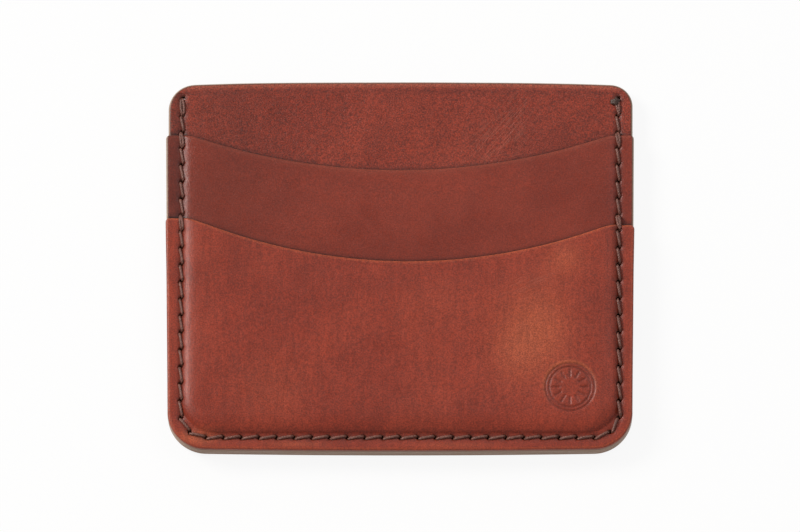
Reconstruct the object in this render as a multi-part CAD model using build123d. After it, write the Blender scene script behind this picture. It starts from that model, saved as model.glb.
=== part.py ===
from build123d import *

import math
import os

# Leather card wallet: a stitched stack of four leather panels.
#
# The wallet lies on its back, with its mouths towards +Y and its card pockets facing +Z.
# From the surface up it is a back panel, a body panel that closes the note pocket, an upper
# card pocket and a front card pocket. One waxed thread, sewn with a needle at each end,
# joins all four down the left side, along the bottom and up the right side. A second, hidden
# thread sews the upper pocket to the body panel and makes the floor on which its card
# stands. Doubled stitches lock the perimeter seam at its two ends and across the corners of
# both pocket mouths.
#
# Units are millimetres. The origin is under the middle of the wallet, on the surface.

# Outline of the panels
BODY_WIDTH = 101.0  # back and body panels, side to side
HEIGHT = 84.0  # bottom edge to the middle of the top edge
POCKET_OVERHANG = 0.5  # each pocket panel is this much wider than the body at its mouth
BOTTOM_DRAW_IN = 0.2  # every panel narrows by this much a side at the bottom corners
TOP_CROWN = 0.4  # the top edge bows up by this much
TOP_CORNER_RADIUS = 6.0
BOTTOM_CORNER_RADIUS = 8.5

# Leather, and the slack that is moulded into it
BODY_LEATHER = 1.2
POCKET_LEATHER = 1.1
NOTE_GAP = 1.2  # between the back panel and the body panel
CARD_GAP = 0.8  # in each card pocket, for a card 0.76 thick
SLOPE_WIDTH = 3.9  # plan width of the moulded slope from the seam up to the flat
FLAT_CORNER_RADIUS = 4.1  # plan radius of the flat's corners, inside the slope
EDGE_ROUNDING = 0.3  # burnished edges

# Thread and the slots that it passes through
THREAD_DIAMETER = 0.75
HOLE_CLEARANCE = 0.05  # round the strands in a hole, and between two strands
LAY_CLEARANCE = 0.02  # between a strand and the leather that it lies on
BEND_CLEARANCE = 0.075  # inside radius of the thread's bends
HOLE_SLANT = 45.0  # degrees between a punched slot and the seam line
STITCH_PITCH = 3.85

# Perimeter seam
SEAM_INSET = 3.0  # from the body's edge to the seam line
SEAM_CORNER_RADIUS = 5.5
SEAM_TOP_GAP = 3.9  # from the top edge to the first hole
FOOT_CLEARANCE = 0.14  # between the seam's strands and the foot of the moulded slope
LOCK_CLEARANCE = 0.07  # between a doubled stitch and the stitch beside it

# Pocket mouths, counted in stitches down from the top of the seam
UPPER_MOUTH_STITCHES = 2
FRONT_MOUTH_STITCHES = 7
MOUTH_MARGIN = 0.24  # leather between a slot and the mouth's corner below it
UPPER_SCOOP = 8.0  # depth of the curve in each mouth
FRONT_SCOOP = 9.2
SHOULDER_GAP = 1.0  # the curve starts this far inside the seam line
SHOULDER_RADIUS = 5.0
MOUTH_CORNER_RADIUS = 0.8

# Floor of the upper pocket
FLOOR_RISE = 18.0  # floor seam above the bottom seam
FLOOR_END_GAP = 4.4  # from the foot of the side slope in to the floor seam's last hole

# Blind-tooled dial on the front pocket
DIAL_RADIUS = 5.5
DIAL_INNER_RING_RADIUS = 4.7
DIAL_LINE = 0.35
DIAL_DEPTH = 0.25
DIAL_TICKS = 12
DIAL_TICK_LENGTH = 1.5
DIAL_TICK_INNER_RADIUS = 2.3
DIAL_FROM_SIDE = 13.7  # middle of the dial from the body's side and bottom
DIAL_FROM_BOTTOM = 13.9

# Levels of the stack, from the surface up
BACK_LEVEL = NOTE_GAP
BODY_LEVEL = BACK_LEVEL + BODY_LEATHER
UPPER_LEVEL = BODY_LEVEL + BODY_LEATHER
FRONT_LEVEL = UPPER_LEVEL + POCKET_LEATHER
STACK_TOP = FRONT_LEVEL + POCKET_LEATHER
FLAT_TOP = STACK_TOP + 2 * CARD_GAP

# How the thread lies
STRAND_OFFSET = (THREAD_DIAMETER + HOLE_CLEARANCE) / 2  # from a slot's middle to each strand
STRAND_SHIFT = STRAND_OFFSET * math.sin(math.radians(HOLE_SLANT))  # the same, off the seam line
STRAND_LEAD = STRAND_OFFSET * math.cos(math.radians(HOLE_SLANT))  # the same, along the seam
HOLE_RADIUS = THREAD_DIAMETER / 2 + HOLE_CLEARANCE
LAY_HEIGHT = THREAD_DIAMETER / 2 + LAY_CLEARANCE
THREAD_BEND = THREAD_DIAMETER / 2 + BEND_CLEARANCE
LOCK_OFFSET = STRAND_SHIFT + THREAD_DIAMETER + LOCK_CLEARANCE

# Places that several panels share
TOP = HEIGHT / 2
BOTTOM = -HEIGHT / 2
SEAM_X = BODY_WIDTH / 2 - SEAM_INSET
SEAM_BOTTOM = BOTTOM + SEAM_INSET
SEAM_TOP = TOP - SEAM_TOP_GAP
FOOT_GAP = STRAND_SHIFT + THREAD_DIAMETER / 2 + FOOT_CLEARANCE
FOOT_X = SEAM_X - FOOT_GAP
FOOT_BOTTOM = SEAM_BOTTOM + FOOT_GAP
FLOOR_Y = SEAM_BOTTOM + FLOOR_RISE
PAST = 3.0  # how far a cutting shape runs past what it cuts


def seam_wire():
    """The perimeter seam line, from the top left down, across and up to the top right."""
    corners = [
        (-SEAM_X, SEAM_TOP),
        (-SEAM_X, SEAM_BOTTOM),
        (SEAM_X, SEAM_BOTTOM),
        (SEAM_X, SEAM_TOP),
    ]
    return FilletPolyline(*corners, radius=SEAM_CORNER_RADIUS)


SEAM = seam_wire()
STITCHES = 2 * round(SEAM.length / STITCH_PITCH / 2)
PITCH = SEAM.length / STITCHES
MOUTH_DROP = STRAND_LEAD + HOLE_RADIUS + MOUTH_MARGIN
UPPER_MOUTH = SEAM_TOP - UPPER_MOUTH_STITCHES * PITCH - MOUTH_DROP
FRONT_MOUTH = SEAM_TOP - FRONT_MOUTH_STITCHES * PITCH - MOUTH_DROP


def body_outline():
    """The outline that the back panel and the body panel share."""
    side = BODY_WIDTH / 2
    foot = side - BOTTOM_DRAW_IN
    shoulder = TOP - TOP_CROWN
    with BuildSketch() as sketch:
        with BuildLine():
            ThreePointArc((-side, shoulder), (0, TOP), (side, shoulder))
            Polyline((side, shoulder), (foot, BOTTOM), (-foot, BOTTOM), (-side, shoulder))
        make_face()
        fillet(sketch.vertices().group_by(Axis.Y)[0], BOTTOM_CORNER_RADIUS)
        fillet(sketch.vertices().group_by(Axis.Y)[-1], TOP_CORNER_RADIUS)
    return sketch.sketch


def pocket_outline(mouth, scoop):
    """The outline of a pocket panel: straight at the seams and scooped between them."""
    side = BODY_WIDTH / 2 + POCKET_OVERHANG
    foot = BODY_WIDTH / 2 - BOTTOM_DRAW_IN
    shoulder = SEAM_X - SHOULDER_GAP
    with BuildSketch() as sketch:
        with BuildLine():
            Line((-side, mouth), (-shoulder, mouth))
            ThreePointArc((-shoulder, mouth), (0, mouth - scoop), (shoulder, mouth))
            Line((shoulder, mouth), (side, mouth))
            Polyline((side, mouth), (foot, BOTTOM), (-foot, BOTTOM), (-side, mouth))
        make_face()
        fillet(sketch.vertices().group_by(Axis.Y)[0], BOTTOM_CORNER_RADIUS)
        shoulders = sketch.vertices().filter_by(lambda v: abs(abs(v.X) - shoulder) < 0.01)
        fillet(shoulders, SHOULDER_RADIUS)
        corners = sketch.vertices().filter_by(lambda v: abs(abs(v.X) - side) < 0.01)
        fillet(corners, MOUTH_CORNER_RADIUS)
    return sketch.sketch


def moulding(rise, shift, foot_bottom):
    """The solid under a moulded surface: flat inside, with an S-shaped slope on three sides.

    The slope is two equal arcs. shift moves it outwards along its normal, so that a panel
    made from two of these has the same thickness all over.
    """
    angle = 2 * math.atan(rise / SLOPE_WIDTH)
    radius = SLOPE_WIDTH / (2 * math.sin(angle))
    low = radius - shift
    high = radius + shift
    start = (0, shift)
    low_middle = (low * math.sin(angle / 2), radius - low * math.cos(angle / 2))
    joint = (low * math.sin(angle), radius - low * math.cos(angle))
    high_middle = (
        SLOPE_WIDTH - high * math.sin(angle / 2),
        rise - radius + high * math.cos(angle / 2),
    )
    end = (SLOPE_WIDTH, rise + shift)
    inner = SLOPE_WIDTH + FLAT_CORNER_RADIUS / 8  # the slope's section runs on into the flat
    corners = [
        (-FOOT_X, TOP + PAST),
        (-FOOT_X, foot_bottom),
        (FOOT_X, foot_bottom),
        (FOOT_X, TOP + PAST),
    ]
    path = FilletPolyline(*corners, radius=FLAT_CORNER_RADIUS + SLOPE_WIDTH)
    section = Plane(origin=(-FOOT_X, TOP + PAST, 0), x_dir=(1, 0, 0), z_dir=(0, -1, 0))
    with BuildSketch(section) as profile:
        with BuildLine():
            ThreePointArc(start, low_middle, joint)
            ThreePointArc(joint, high_middle, end)
            Polyline(end, (inner, rise + shift), (inner, -PAST), (0, -PAST), start)
        make_face()
    slope = sweep(profile.sketch.faces()[0], path=path)
    flat_x = FOOT_X - SLOPE_WIDTH
    flat_bottom = foot_bottom + SLOPE_WIDTH
    with BuildSketch(Plane.XY.offset(-PAST)) as flat:
        with BuildLine():
            Polyline(
                (-flat_x, TOP + PAST),
                (-flat_x, flat_bottom),
                (flat_x, flat_bottom),
                (flat_x, TOP + PAST),
                close=True,
            )
        make_face()
        fillet(flat.vertices().group_by(Axis.Y)[0], FLAT_CORNER_RADIUS)
    return slope + extrude(flat.sketch, amount=PAST + rise + shift)


def dished_panel(outline, thickness, rise, foot_bottom):
    """A leather panel: a flat border at level 0 and a middle that stands rise above it."""
    border = extrude(outline, amount=thickness)
    prism = extrude(outline, amount=rise + thickness + PAST)
    hump = moulding(rise, thickness, foot_bottom) & prism
    return (border + hump) - moulding(rise, 0, foot_bottom)


def round_edges(panel, outline):
    """Rounds the burnished edges, all round the panel and on both faces."""
    walls = extrude(outline, amount=HEIGHT, both=True).faces()
    walls = walls.filter_by(lambda f: abs(f.normal_at().Z) < 0.1)
    rim = []
    for edge in panel.edges():
        upright = abs(edge.tangent_at(0.5).Z) > 0.9
        middle = edge.position_at(0.5)
        if not upright and any(wall.distance_to(middle) < 0.001 for wall in walls):
            rim.append(edge)
    return fillet(rim, EDGE_ROUNDING)


def seam_frame(wire, count, index):
    """A hole's place on a seam line, the seam's direction there and its outward side."""
    at = wire.position_at(index / count)
    along = wire.tangent_at(index / count)
    return at, along, Vector(along.Y, -along.X, 0)


def strand_point(wire, count, index, end):
    """Where a strand goes through a hole: end is 1, -1 or 0 for the middle of the slot."""
    at, along, out = seam_frame(wire, count, index)
    return at + (along * STRAND_LEAD + out * STRAND_SHIFT) * end


def slot_cutters(wire, count):
    """The slots that the pricking iron leaves, slanted to the seam and right through."""
    slot = SlotCenterToCenter(2 * STRAND_OFFSET, 2 * HOLE_RADIUS)
    blade = extrude(slot, amount=FLAT_TOP + 2 * PAST)
    cutters = []
    for index in range(count + 1):
        at, along, _ = seam_frame(wire, count, index)
        turn = math.degrees(math.atan2(along.Y, along.X)) - HOLE_SLANT
        cutters.append(Pos(at.X, at.Y, -PAST) * Rot(0, 0, turn) * blade)
    return cutters


def lock_points(index):
    """The two ends of the doubled stitch that lies beside stitch number index."""
    ends = []
    for hole, way in ((index, 1), (index + 1, -1)):
        at, along, out = seam_frame(SEAM, STITCHES, hole)
        ends.append(at + along * (way * STRAND_LEAD) + out * LOCK_OFFSET)
    return ends


def lock_cutters(indices):
    """Round holes for the doubled stitches."""
    drill = Cylinder(HOLE_RADIUS, FLAT_TOP + 2 * PAST)
    return [Pos(at.X, at.Y, FLAT_TOP / 2) * drill for i in indices for at in lock_points(i)]


def seam_top_level(index):
    """Height of the leather's upper face at perimeter hole number index."""
    y = SEAM.position_at(index / STITCHES).Y
    if y > UPPER_MOUTH:
        return UPPER_LEVEL
    return FRONT_LEVEL if y > FRONT_MOUTH else STACK_TOP


def over_height(index):
    """Height of the thread's middle line over perimeter stitch number index."""
    return max(seam_top_level(index), seam_top_level(index + 1)) + LAY_HEIGHT


def under_height():
    """Height of the thread's middle line under the perimeter seam."""
    return BACK_LEVEL - LAY_HEIGHT


def strand(points):
    """A round strand of thread along a line whose corners are bent to THREAD_BEND."""
    path = FilletPolyline(*points, radius=THREAD_BEND)
    start = Plane(origin=points[0], z_dir=Vector(*points[1]) - Vector(*points[0]))
    return sweep(start * Circle(THREAD_DIAMETER / 2), path=path)


def saddle_thread(wire, count, over, under):
    """One thread sewn from its middle with both ends, so that each hole holds two strands.

    over(i) gives the height of the run on stitch i and under that of the runs below. The
    two halves leave the first hole on opposite faces and swap faces at every hole.
    """
    halves = []
    for first in (0, 1):
        points = []
        for index in range(count):
            on_top = index % 2 == first
            height = over(index) if on_top else under
            side = 1 if on_top else -1
            near = strand_point(wire, count, index, side if index else 0)
            far = strand_point(wire, count, index + 1, -side)
            points.append((near.X, near.Y, height))
            points.append((far.X, far.Y, height))
        points.append((far.X, far.Y, (over(count - 1) + under) / 2))
        halves.append(points)
    return strand(list(reversed(halves[1])) + halves[0])


def lock_loop(index):
    """One doubled stitch: a ring of thread round the whole stack."""
    start, end = lock_points(index)
    over = over_height(index)
    under = under_height()
    middle = (over + under) / 2
    points = [
        (start.X, start.Y, middle + LAY_CLEARANCE / 2),  # the ring's two ends meet in the hole
        (start.X, start.Y, over),
        (end.X, end.Y, over),
        (end.X, end.Y, under),
        (start.X, start.Y, under),
        (start.X, start.Y, middle - LAY_CLEARANCE / 2),
    ]
    return strand(points)


def floor_wire():
    """The hidden seam line that makes the upper pocket's floor."""
    end = FOOT_X - FLOOR_END_GAP
    return Edge.make_line((-end, FLOOR_Y, 0), (end, FLOOR_Y, 0))


def dial():
    """The blind-tooled dial, two rings and plain ticks, as a cutter."""
    middle = (BODY_WIDTH / 2 - DIAL_FROM_SIDE, BOTTOM + DIAL_FROM_BOTTOM)
    with BuildSketch(Plane.XY.offset(FLAT_TOP - DIAL_DEPTH)) as mark:
        with Locations(middle):
            for radius in (DIAL_RADIUS, DIAL_INNER_RING_RADIUS):
                Circle(radius)
                Circle(radius - DIAL_LINE, mode=Mode.SUBTRACT)
            with PolarLocations(DIAL_TICK_INNER_RADIUS + DIAL_TICK_LENGTH / 2, DIAL_TICKS):
                SlotOverall(DIAL_TICK_LENGTH, DIAL_LINE)
    return extrude(mark.sketch, amount=PAST)


def back_panel(holes):
    """The rear panel, dished towards the surface to leave the note pocket."""
    outline = body_outline()
    panel = dished_panel(outline, BODY_LEATHER, NOTE_GAP, FOOT_BOTTOM)
    return Pos(0, 0, BODY_LEVEL) * round_edges(panel, outline).mirror(Plane.XY) - holes


def body_panel(holes):
    """The flat panel between the note pocket and the card pockets."""
    outline = body_outline()
    panel = round_edges(extrude(outline, amount=BODY_LEATHER), outline)
    return Pos(0, 0, BODY_LEVEL) * panel - holes


def upper_pocket(holes):
    """The upper card pocket, which ends at the floor seam and is flat below it."""
    outline = pocket_outline(UPPER_MOUTH, UPPER_SCOOP)
    panel = dished_panel(outline, POCKET_LEATHER, CARD_GAP, FLOOR_Y + FOOT_GAP)
    return Pos(0, 0, UPPER_LEVEL) * round_edges(panel, outline) - holes


def front_pocket(holes):
    """The front card pocket, dished over the upper pocket, with the dial in its face."""
    outline = pocket_outline(FRONT_MOUTH, FRONT_SCOOP)
    panel = dished_panel(outline, POCKET_LEATHER, 2 * CARD_GAP, FOOT_BOTTOM)
    return Pos(0, 0, FRONT_LEVEL) * round_edges(panel, outline) - holes - dial()


def write(name, shape):
    """Writes one node's solids."""
    solids = list(shape.solids())
    if not all(solid.is_valid for solid in solids):
        raise ValueError(f"{name} has a solid that is not valid")
    whole = solids[0] if len(solids) == 1 else Compound(children=solids)
    export_step(whole, f"parts/{name}.step")


def main():
    """Builds every piece and writes it to parts/."""
    os.makedirs("parts", exist_ok=True)
    locks = {
        "top_lock_stitches": (0, STITCHES - 1),
        "upper_mouth_lock_stitches": (UPPER_MOUTH_STITCHES, STITCHES - 1 - UPPER_MOUTH_STITCHES),
        "front_mouth_lock_stitches": (FRONT_MOUTH_STITCHES, STITCHES - 1 - FRONT_MOUTH_STITCHES),
    }
    lock_indices = [index for pair in locks.values() for index in pair]
    seam_holes = slot_cutters(SEAM, STITCHES) + lock_cutters(lock_indices)
    floor = floor_wire()
    floor_stitches = round(floor.length / STITCH_PITCH)
    floor_holes = slot_cutters(floor, floor_stitches)
    floor_over = FRONT_LEVEL + LAY_HEIGHT
    floor_under = BODY_LEVEL - LAY_HEIGHT

    write("back_panel", back_panel(seam_holes))
    write("body_panel", body_panel(seam_holes + floor_holes))
    write("upper_pocket", upper_pocket(seam_holes + floor_holes))
    write("front_pocket", front_pocket(seam_holes))
    write("perimeter_thread", saddle_thread(SEAM, STITCHES, over_height, under_height()))
    write("floor_thread", saddle_thread(floor, floor_stitches, lambda i: floor_over, floor_under))
    for name, pair in locks.items():
        write(name, Compound(children=[lock_loop(index) for index in pair]))
    print(f"{STITCHES} stitches of {PITCH:.3f}, mouths at {UPPER_MOUTH:.2f} and {FRONT_MOUTH:.2f}")


main()
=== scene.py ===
import logging
import math
from dataclasses import dataclass, field
from enum import Enum
from typing import Callable, Optional, Sequence

import bmesh
import bpy
import numpy as np
from mathutils import Matrix, Vector
from mathutils.geometry import delaunay_2d_cdt


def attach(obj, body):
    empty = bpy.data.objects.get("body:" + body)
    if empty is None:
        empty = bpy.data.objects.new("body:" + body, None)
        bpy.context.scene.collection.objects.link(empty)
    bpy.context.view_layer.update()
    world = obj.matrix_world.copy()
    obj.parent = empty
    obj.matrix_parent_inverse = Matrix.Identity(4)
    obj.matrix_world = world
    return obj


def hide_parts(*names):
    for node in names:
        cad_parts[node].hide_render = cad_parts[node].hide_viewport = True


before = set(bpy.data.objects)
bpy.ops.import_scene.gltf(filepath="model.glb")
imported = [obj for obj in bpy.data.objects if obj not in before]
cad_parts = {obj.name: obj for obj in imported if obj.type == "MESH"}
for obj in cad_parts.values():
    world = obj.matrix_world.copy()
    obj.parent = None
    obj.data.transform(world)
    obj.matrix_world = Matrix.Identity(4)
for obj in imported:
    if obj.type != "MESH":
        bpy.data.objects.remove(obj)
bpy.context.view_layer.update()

# Leather card wallet. Four stitched leather panels, sewn with waxed thread, lie on a pale
# floor under soft studio light. Sizes are in millimetres unless a name says otherwise, and
# meshes are written in metres. FINE, MEDIUM and WIDE are the distances between a mesh's points,
# and DARKEST is the most that painted shade and darker patches may darken a place on the leather.

LOG = logging.getLogger("wallet")
MM = 0.001
BODY = "root"
FINE, MEDIUM, WIDE = 0.24, 0.48, 0.96
LAYER_CLEARANCE = 0.02
DARKEST = 0.85
Array = np.ndarray
HeightField = Callable[[Array, Array], Array]
Place = tuple[float, float]
Line = list[Place]
Corner = tuple[float, float, float]
Colour = tuple[float, float, float]
Socket = bpy.types.NodeSocket


class Face(Enum):
    """Which face of a panel is the grain side."""

    UP = 1
    DOWN = -1


class Slot(Enum):
    """The record's material slots."""

    BODY = "body_leather"
    POCKET = "pocket_leather"
    FRONT = "front_leather"
    THREAD = "waxed_thread"


# ---------------------------------------------------------------- numbers and curves


def smooth(value: Array, low: float, high: float) -> Array:
    """A smooth step from 0 at low to 1 at high.

    Args:
        value: the numbers to map.
        low: where the step starts.
        high: where it ends.

    Returns:
        Numbers from 0 to 1.
    """
    t = np.clip((value - low) / (high - low), 0.0, 1.0)
    return t * t * (3.0 - 2.0 * t)


def bump(value: Array, width: float) -> Array:
    """A bell of height 1 about zero, whose half width is about width."""
    return np.exp(-((value / width) ** 2))


def box_distance(x: Array, y: Array, half: float, bottom: float, radius: float) -> Array:
    """Signed distance outside a U that is open at the top and rounded at its two corners.

    Args:
        x: places across.
        y: places up.
        half: half the U's width.
        bottom: where its lower side lies.
        radius: its corner radius.

    Returns:
        Distances, negative inside the U.
    """
    across = np.abs(x) - (half - radius)
    down = (bottom + radius) - y
    outside = np.hypot(np.maximum(across, 0.0), np.maximum(down, 0.0))
    return outside + np.minimum(np.maximum(across, down), 0.0) - radius


@dataclass(frozen=True)
class Waves:
    """Gentle unevenness of hand-worked leather: a sum of seeded plane waves."""

    seed: int
    length: float
    height: float
    count: int = 7

    def at(self, x: Array, y: Array) -> Array:
        """Heights at the given places.

        Args:
            x: places across.
            y: places up.

        Returns:
            The heights.
        """
        rng = np.random.default_rng(self.seed)
        total = np.zeros_like(x, dtype=float)
        for _ in range(self.count):
            turn = rng.uniform(0.0, 2.0 * math.pi)
            rate = 2.0 * math.pi / (self.length * rng.uniform(0.7, 1.6))
            phase = rng.uniform(0.0, 2.0 * math.pi)
            total += np.sin((x * math.cos(turn) + y * math.sin(turn)) * rate + phase)
        return total * self.height / math.sqrt(self.count)


@dataclass(frozen=True)
class Crease:
    """A fold line in the leather, from one place to another."""

    start: Place
    end: Place
    width: float
    depth: float

    def at(self, x: Array, y: Array) -> Array:
        """Height of the fold at the given places, fading at both ends.

        Args:
            x: places across.
            y: places up.

        Returns:
            The heights, negative in the fold.
        """
        ax, ay = self.start
        dx, dy = self.end[0] - ax, self.end[1] - ay
        length = math.hypot(dx, dy)
        along = ((x - ax) * dx + (y - ay) * dy) / length
        across = ((x - ax) * dy - (y - ay) * dx) / length
        bow = 0.05 * length * np.sin(math.pi * np.clip(along / length, 0.0, 1.0))
        fade = smooth(along, 0.0, 0.35 * length) * (1.0 - smooth(along, 0.65 * length, length))
        side = across - bow
        ridge = 0.6 * bump(side - 1.4 * self.width, self.width)
        return self.depth * fade * (ridge - bump(side, self.width))


@dataclass(frozen=True)
class Patch:
    """A soft oval patch on the leather."""

    x: float
    y: float
    along: float
    across: float
    strength: float
    turn: float = 0.0

    def at(self, x: Array, y: Array) -> Array:
        """How strong the patch is at the given places.

        Args:
            x: places across.
            y: places up.

        Returns:
            Numbers up to the patch's strength.
        """
        cos, sin = math.cos(math.radians(self.turn)), math.sin(math.radians(self.turn))
        dx, dy = x - self.x, y - self.y
        u, v = (dx * cos + dy * sin) / self.along, (dy * cos - dx * sin) / self.across
        return self.strength * np.exp(-(u**2) - v**2)


def patched(patches: Sequence[Patch], x: Array, y: Array) -> Array:
    """The sum of several patches at the given places."""
    return sum((patch.at(x, y) for patch in patches), np.zeros_like(x, dtype=float))


# ---------------------------------------------------------------- the wallet's sizes


@dataclass(frozen=True)
class Pattern:
    """The wallet's pattern: the sizes that all its panels share."""

    half_width: float = 50.5
    top: float = 42.0
    bottom: float = -42.0
    overhang: float = 0.5
    draw_in: float = 0.2
    top_fall: float = 0.8
    bottom_bow: float = 0.5
    corner_out: float = 0.3
    corner_tighter: float = 1.0
    top_radius: float = 6.0
    bottom_radius: float = 8.5
    mouth_radius: float = 0.8
    body_leather: float = 1.2
    pocket_leather: float = 1.1
    note_gap: float = 1.2
    card_gap: float = 0.8
    slope: float = 3.9
    flat_radius: float = 4.1
    seam_inset: float = 3.0
    seam_radius: float = 5.5
    seam_top_gap: float = 3.9
    foot_gap: float = 0.8
    stitches: int = 64
    upper_mouth_stitches: int = 2
    front_mouth_stitches: int = 7
    mouth_drop: float = 0.95
    floor_rise: float = 18.0
    shoulder_gap: float = 1.0
    slot_length: float = 1.7
    slot_width: float = 0.86
    side_reach: float = 8.0

    @property
    def seam_x(self) -> float:
        """Where the side seams lie, from the middle."""
        return self.half_width - self.seam_inset

    @property
    def seam_bottom(self) -> float:
        """Where the bottom seam lies."""
        return self.bottom + self.seam_inset

    @property
    def seam_top(self) -> float:
        """Where the seam's first and last holes lie."""
        return self.top - self.seam_top_gap

    @property
    def side_run(self) -> float:
        """Length of a side seam's straight run."""
        return self.seam_top - self.seam_bottom - self.seam_radius

    @property
    def corner_run(self) -> float:
        """Length of the seam round a corner."""
        return self.seam_radius * math.pi / 2.0

    @property
    def bottom_run(self) -> float:
        """Length of the bottom seam's straight run."""
        return 2.0 * (self.seam_x - self.seam_radius)

    @property
    def pitch(self) -> float:
        """Distance between two holes."""
        length = 2.0 * (self.side_run + self.corner_run) + self.bottom_run
        return length / self.stitches

    @property
    def upper_mouth(self) -> float:
        """Height of the upper mouth's corners."""
        return self.seam_top - self.upper_mouth_stitches * self.pitch - self.mouth_drop

    @property
    def front_mouth(self) -> float:
        """Height of the front mouth's corners."""
        return self.seam_top - self.front_mouth_stitches * self.pitch - self.mouth_drop

    @property
    def back_level(self) -> float:
        """Level of the back panel's lower face at the seam."""
        return self.note_gap

    @property
    def body_level(self) -> float:
        """Level of the body panel's lower face."""
        return self.back_level + self.body_leather

    @property
    def upper_level(self) -> float:
        """Level of the upper pocket's lower face at the seam."""
        return self.body_level + self.body_leather

    @property
    def front_level(self) -> float:
        """Level of the front pocket's lower face at the seam."""
        return self.upper_level + self.pocket_leather

    def seam_distance(self, x: Array, y: Array) -> Array:
        """Signed distance outside the seam line."""
        return box_distance(x, y, self.seam_x, self.seam_bottom, self.seam_radius)

    def seam_run(self, x: Array, y: Array) -> Array:
        """Distance along the seam from its top left hole to the nearest place on it.

        Args:
            x: places across.
            y: places up.

        Returns:
            The distances.
        """
        left = x < 0.0
        corner_y = self.seam_bottom + self.seam_radius
        corner_x = self.seam_x - self.seam_radius
        half = self.side_run + self.corner_run + self.bottom_run / 2.0
        side = self.seam_top - y
        turn = np.arctan2(np.maximum(corner_y - y, 0.0), np.maximum(np.abs(x) - corner_x, 1e-9))
        corner = self.side_run + self.seam_radius * turn
        foot = self.side_run + self.corner_run + (corner_x - np.abs(x))
        run = np.where(y > corner_y, side, np.where(np.abs(x) > corner_x, corner, foot))
        run = np.where((y > corner_y) & (np.abs(x) < corner_x - self.side_reach), side, run)
        return np.where(left, run, 2.0 * half - run)

    def seam_place(self, run: float) -> tuple[Vector, Vector, Vector]:
        """A place on the seam line.

        Args:
            run: distance along the seam from its top left hole.

        Returns:
            The place, the seam's direction there, and its outward side.
        """
        side, corner = self.side_run, self.corner_run
        total = 2.0 * (side + corner) + self.bottom_run
        left = run <= total / 2.0
        s = run if left else total - run
        centre = Vector((-(self.seam_x - self.seam_radius), self.seam_bottom + self.seam_radius, 0.0))
        if s < side:
            at = Vector((-self.seam_x, self.seam_top - s, 0.0))
            along = Vector((0.0, -1.0, 0.0))
        elif s < side + corner:
            turn = (s - side) / self.seam_radius
            at = centre + Vector((-math.cos(turn), -math.sin(turn), 0.0)) * self.seam_radius
            along = Vector((math.sin(turn), -math.cos(turn), 0.0))
        else:
            at = Vector((centre.x + (s - side - corner), self.seam_bottom, 0.0))
            along = Vector((1.0, 0.0, 0.0))
        if not left:
            at.x = -at.x
            along = Vector((along.x, -along.y, 0.0))
        return at, along, Vector((along.y, -along.x, 0.0))


PATTERN = Pattern()


# ---------------------------------------------------------------- outlines


def spaced(points: Line, step: float) -> Line:
    """The same open line with points added so that none is further than step from the next.

    Args:
        points: the line's points.
        step: the largest distance between points.

    Returns:
        The longer list of points.
    """
    line = [points[0]]
    for start, end in zip(points, points[1:]):
        count = max(1, math.ceil(math.dist(start, end) / step))
        for i in range(1, count + 1):
            x = start[0] + (end[0] - start[0]) * i / count
            y = start[1] + (end[1] - start[1]) * i / count
            line.append((x, y))
    return line


def rounded_loop(corners: Sequence[Corner], runs: dict[int, Line], step: float) -> Array:
    """A closed outline with rounded corners.

    Args:
        corners: each corner's place and radius, anticlockwise.
        runs: for a side that isn't straight, the points between its two corners.
        step: the largest distance between points.

    Returns:
        The outline's points, anticlockwise, the last not joined to the first.
    """
    count = len(corners)
    cuts = []
    for i, (x, y, radius) in enumerate(corners):
        before = runs.get((i - 1) % count, [])
        after = runs.get(i, [])
        far_before = [p for p in before if math.dist(p, (x, y)) > radius] or [corners[i - 1][:2]]
        far_after = [p for p in after if math.dist(p, (x, y)) > radius] or [corners[(i + 1) % count][:2]]
        back = (Vector(far_before[-1]) - Vector((x, y))).normalized()
        ahead = (Vector(far_after[0]) - Vector((x, y))).normalized()
        half = back.angle(ahead) / 2.0
        reach = radius / math.tan(half)
        centre = Vector((x, y)) + (back + ahead).normalized() * (radius / math.sin(half))
        first = Vector((x, y)) + back * reach - centre
        sweep = math.pi - 2.0 * half
        parts = max(4, math.ceil(radius * sweep / step))
        arc = []
        for j in range(parts + 1):
            turn = sweep * j / parts
            cos, sin = math.cos(turn), math.sin(turn)
            arc.append((centre.x + first.x * cos - first.y * sin, centre.y + first.x * sin + first.y * cos))
        cuts.append((arc, reach))
    loop: Line = []
    for i in range(count):
        arc, reach = cuts[i]
        next_arc, next_reach = cuts[(i + 1) % count]
        here, there = corners[i][:2], corners[(i + 1) % count][:2]
        near, far = reach * 1.05, next_reach * 1.05
        run = runs.get(i, [])
        between = [p for p in run if math.dist(p, here) > near and math.dist(p, there) > far]
        loop.extend(arc[:-1])
        loop.extend(spaced([arc[-1], *between, next_arc[0]], step)[:-1])
    return np.array(loop)


def inset_loop(loop: Array, distance: float | Array) -> Array:
    """The outline moved inwards by a distance, the same or one for each point.

    Args:
        loop: the outline's points, anticlockwise.
        distance: how far each moves.

    Returns:
        The moved points.
    """
    ahead = np.roll(loop, -1, axis=0) - np.roll(loop, 1, axis=0)
    ahead /= np.linalg.norm(ahead, axis=1)[:, None]
    inwards = np.stack([-ahead[:, 1], ahead[:, 0]], axis=1)
    return loop + inwards * np.reshape(distance, (-1, 1))


def inside_loop(loop: Array, x: Array, y: Array) -> Array:
    """Whether each place lies inside a closed outline.

    Args:
        loop: the outline's points.
        x: places across.
        y: places up.

    Returns:
        True for each place inside.
    """
    inside = np.zeros(x.shape, dtype=bool)
    for (ax, ay), (bx, by) in zip(loop, np.roll(loop, -1, axis=0)):
        crosses = (ay > y) != (by > y)
        if ay != by:
            inside ^= crosses & (x < ax + (y - ay) / (by - ay) * (bx - ax))
    return inside


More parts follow.
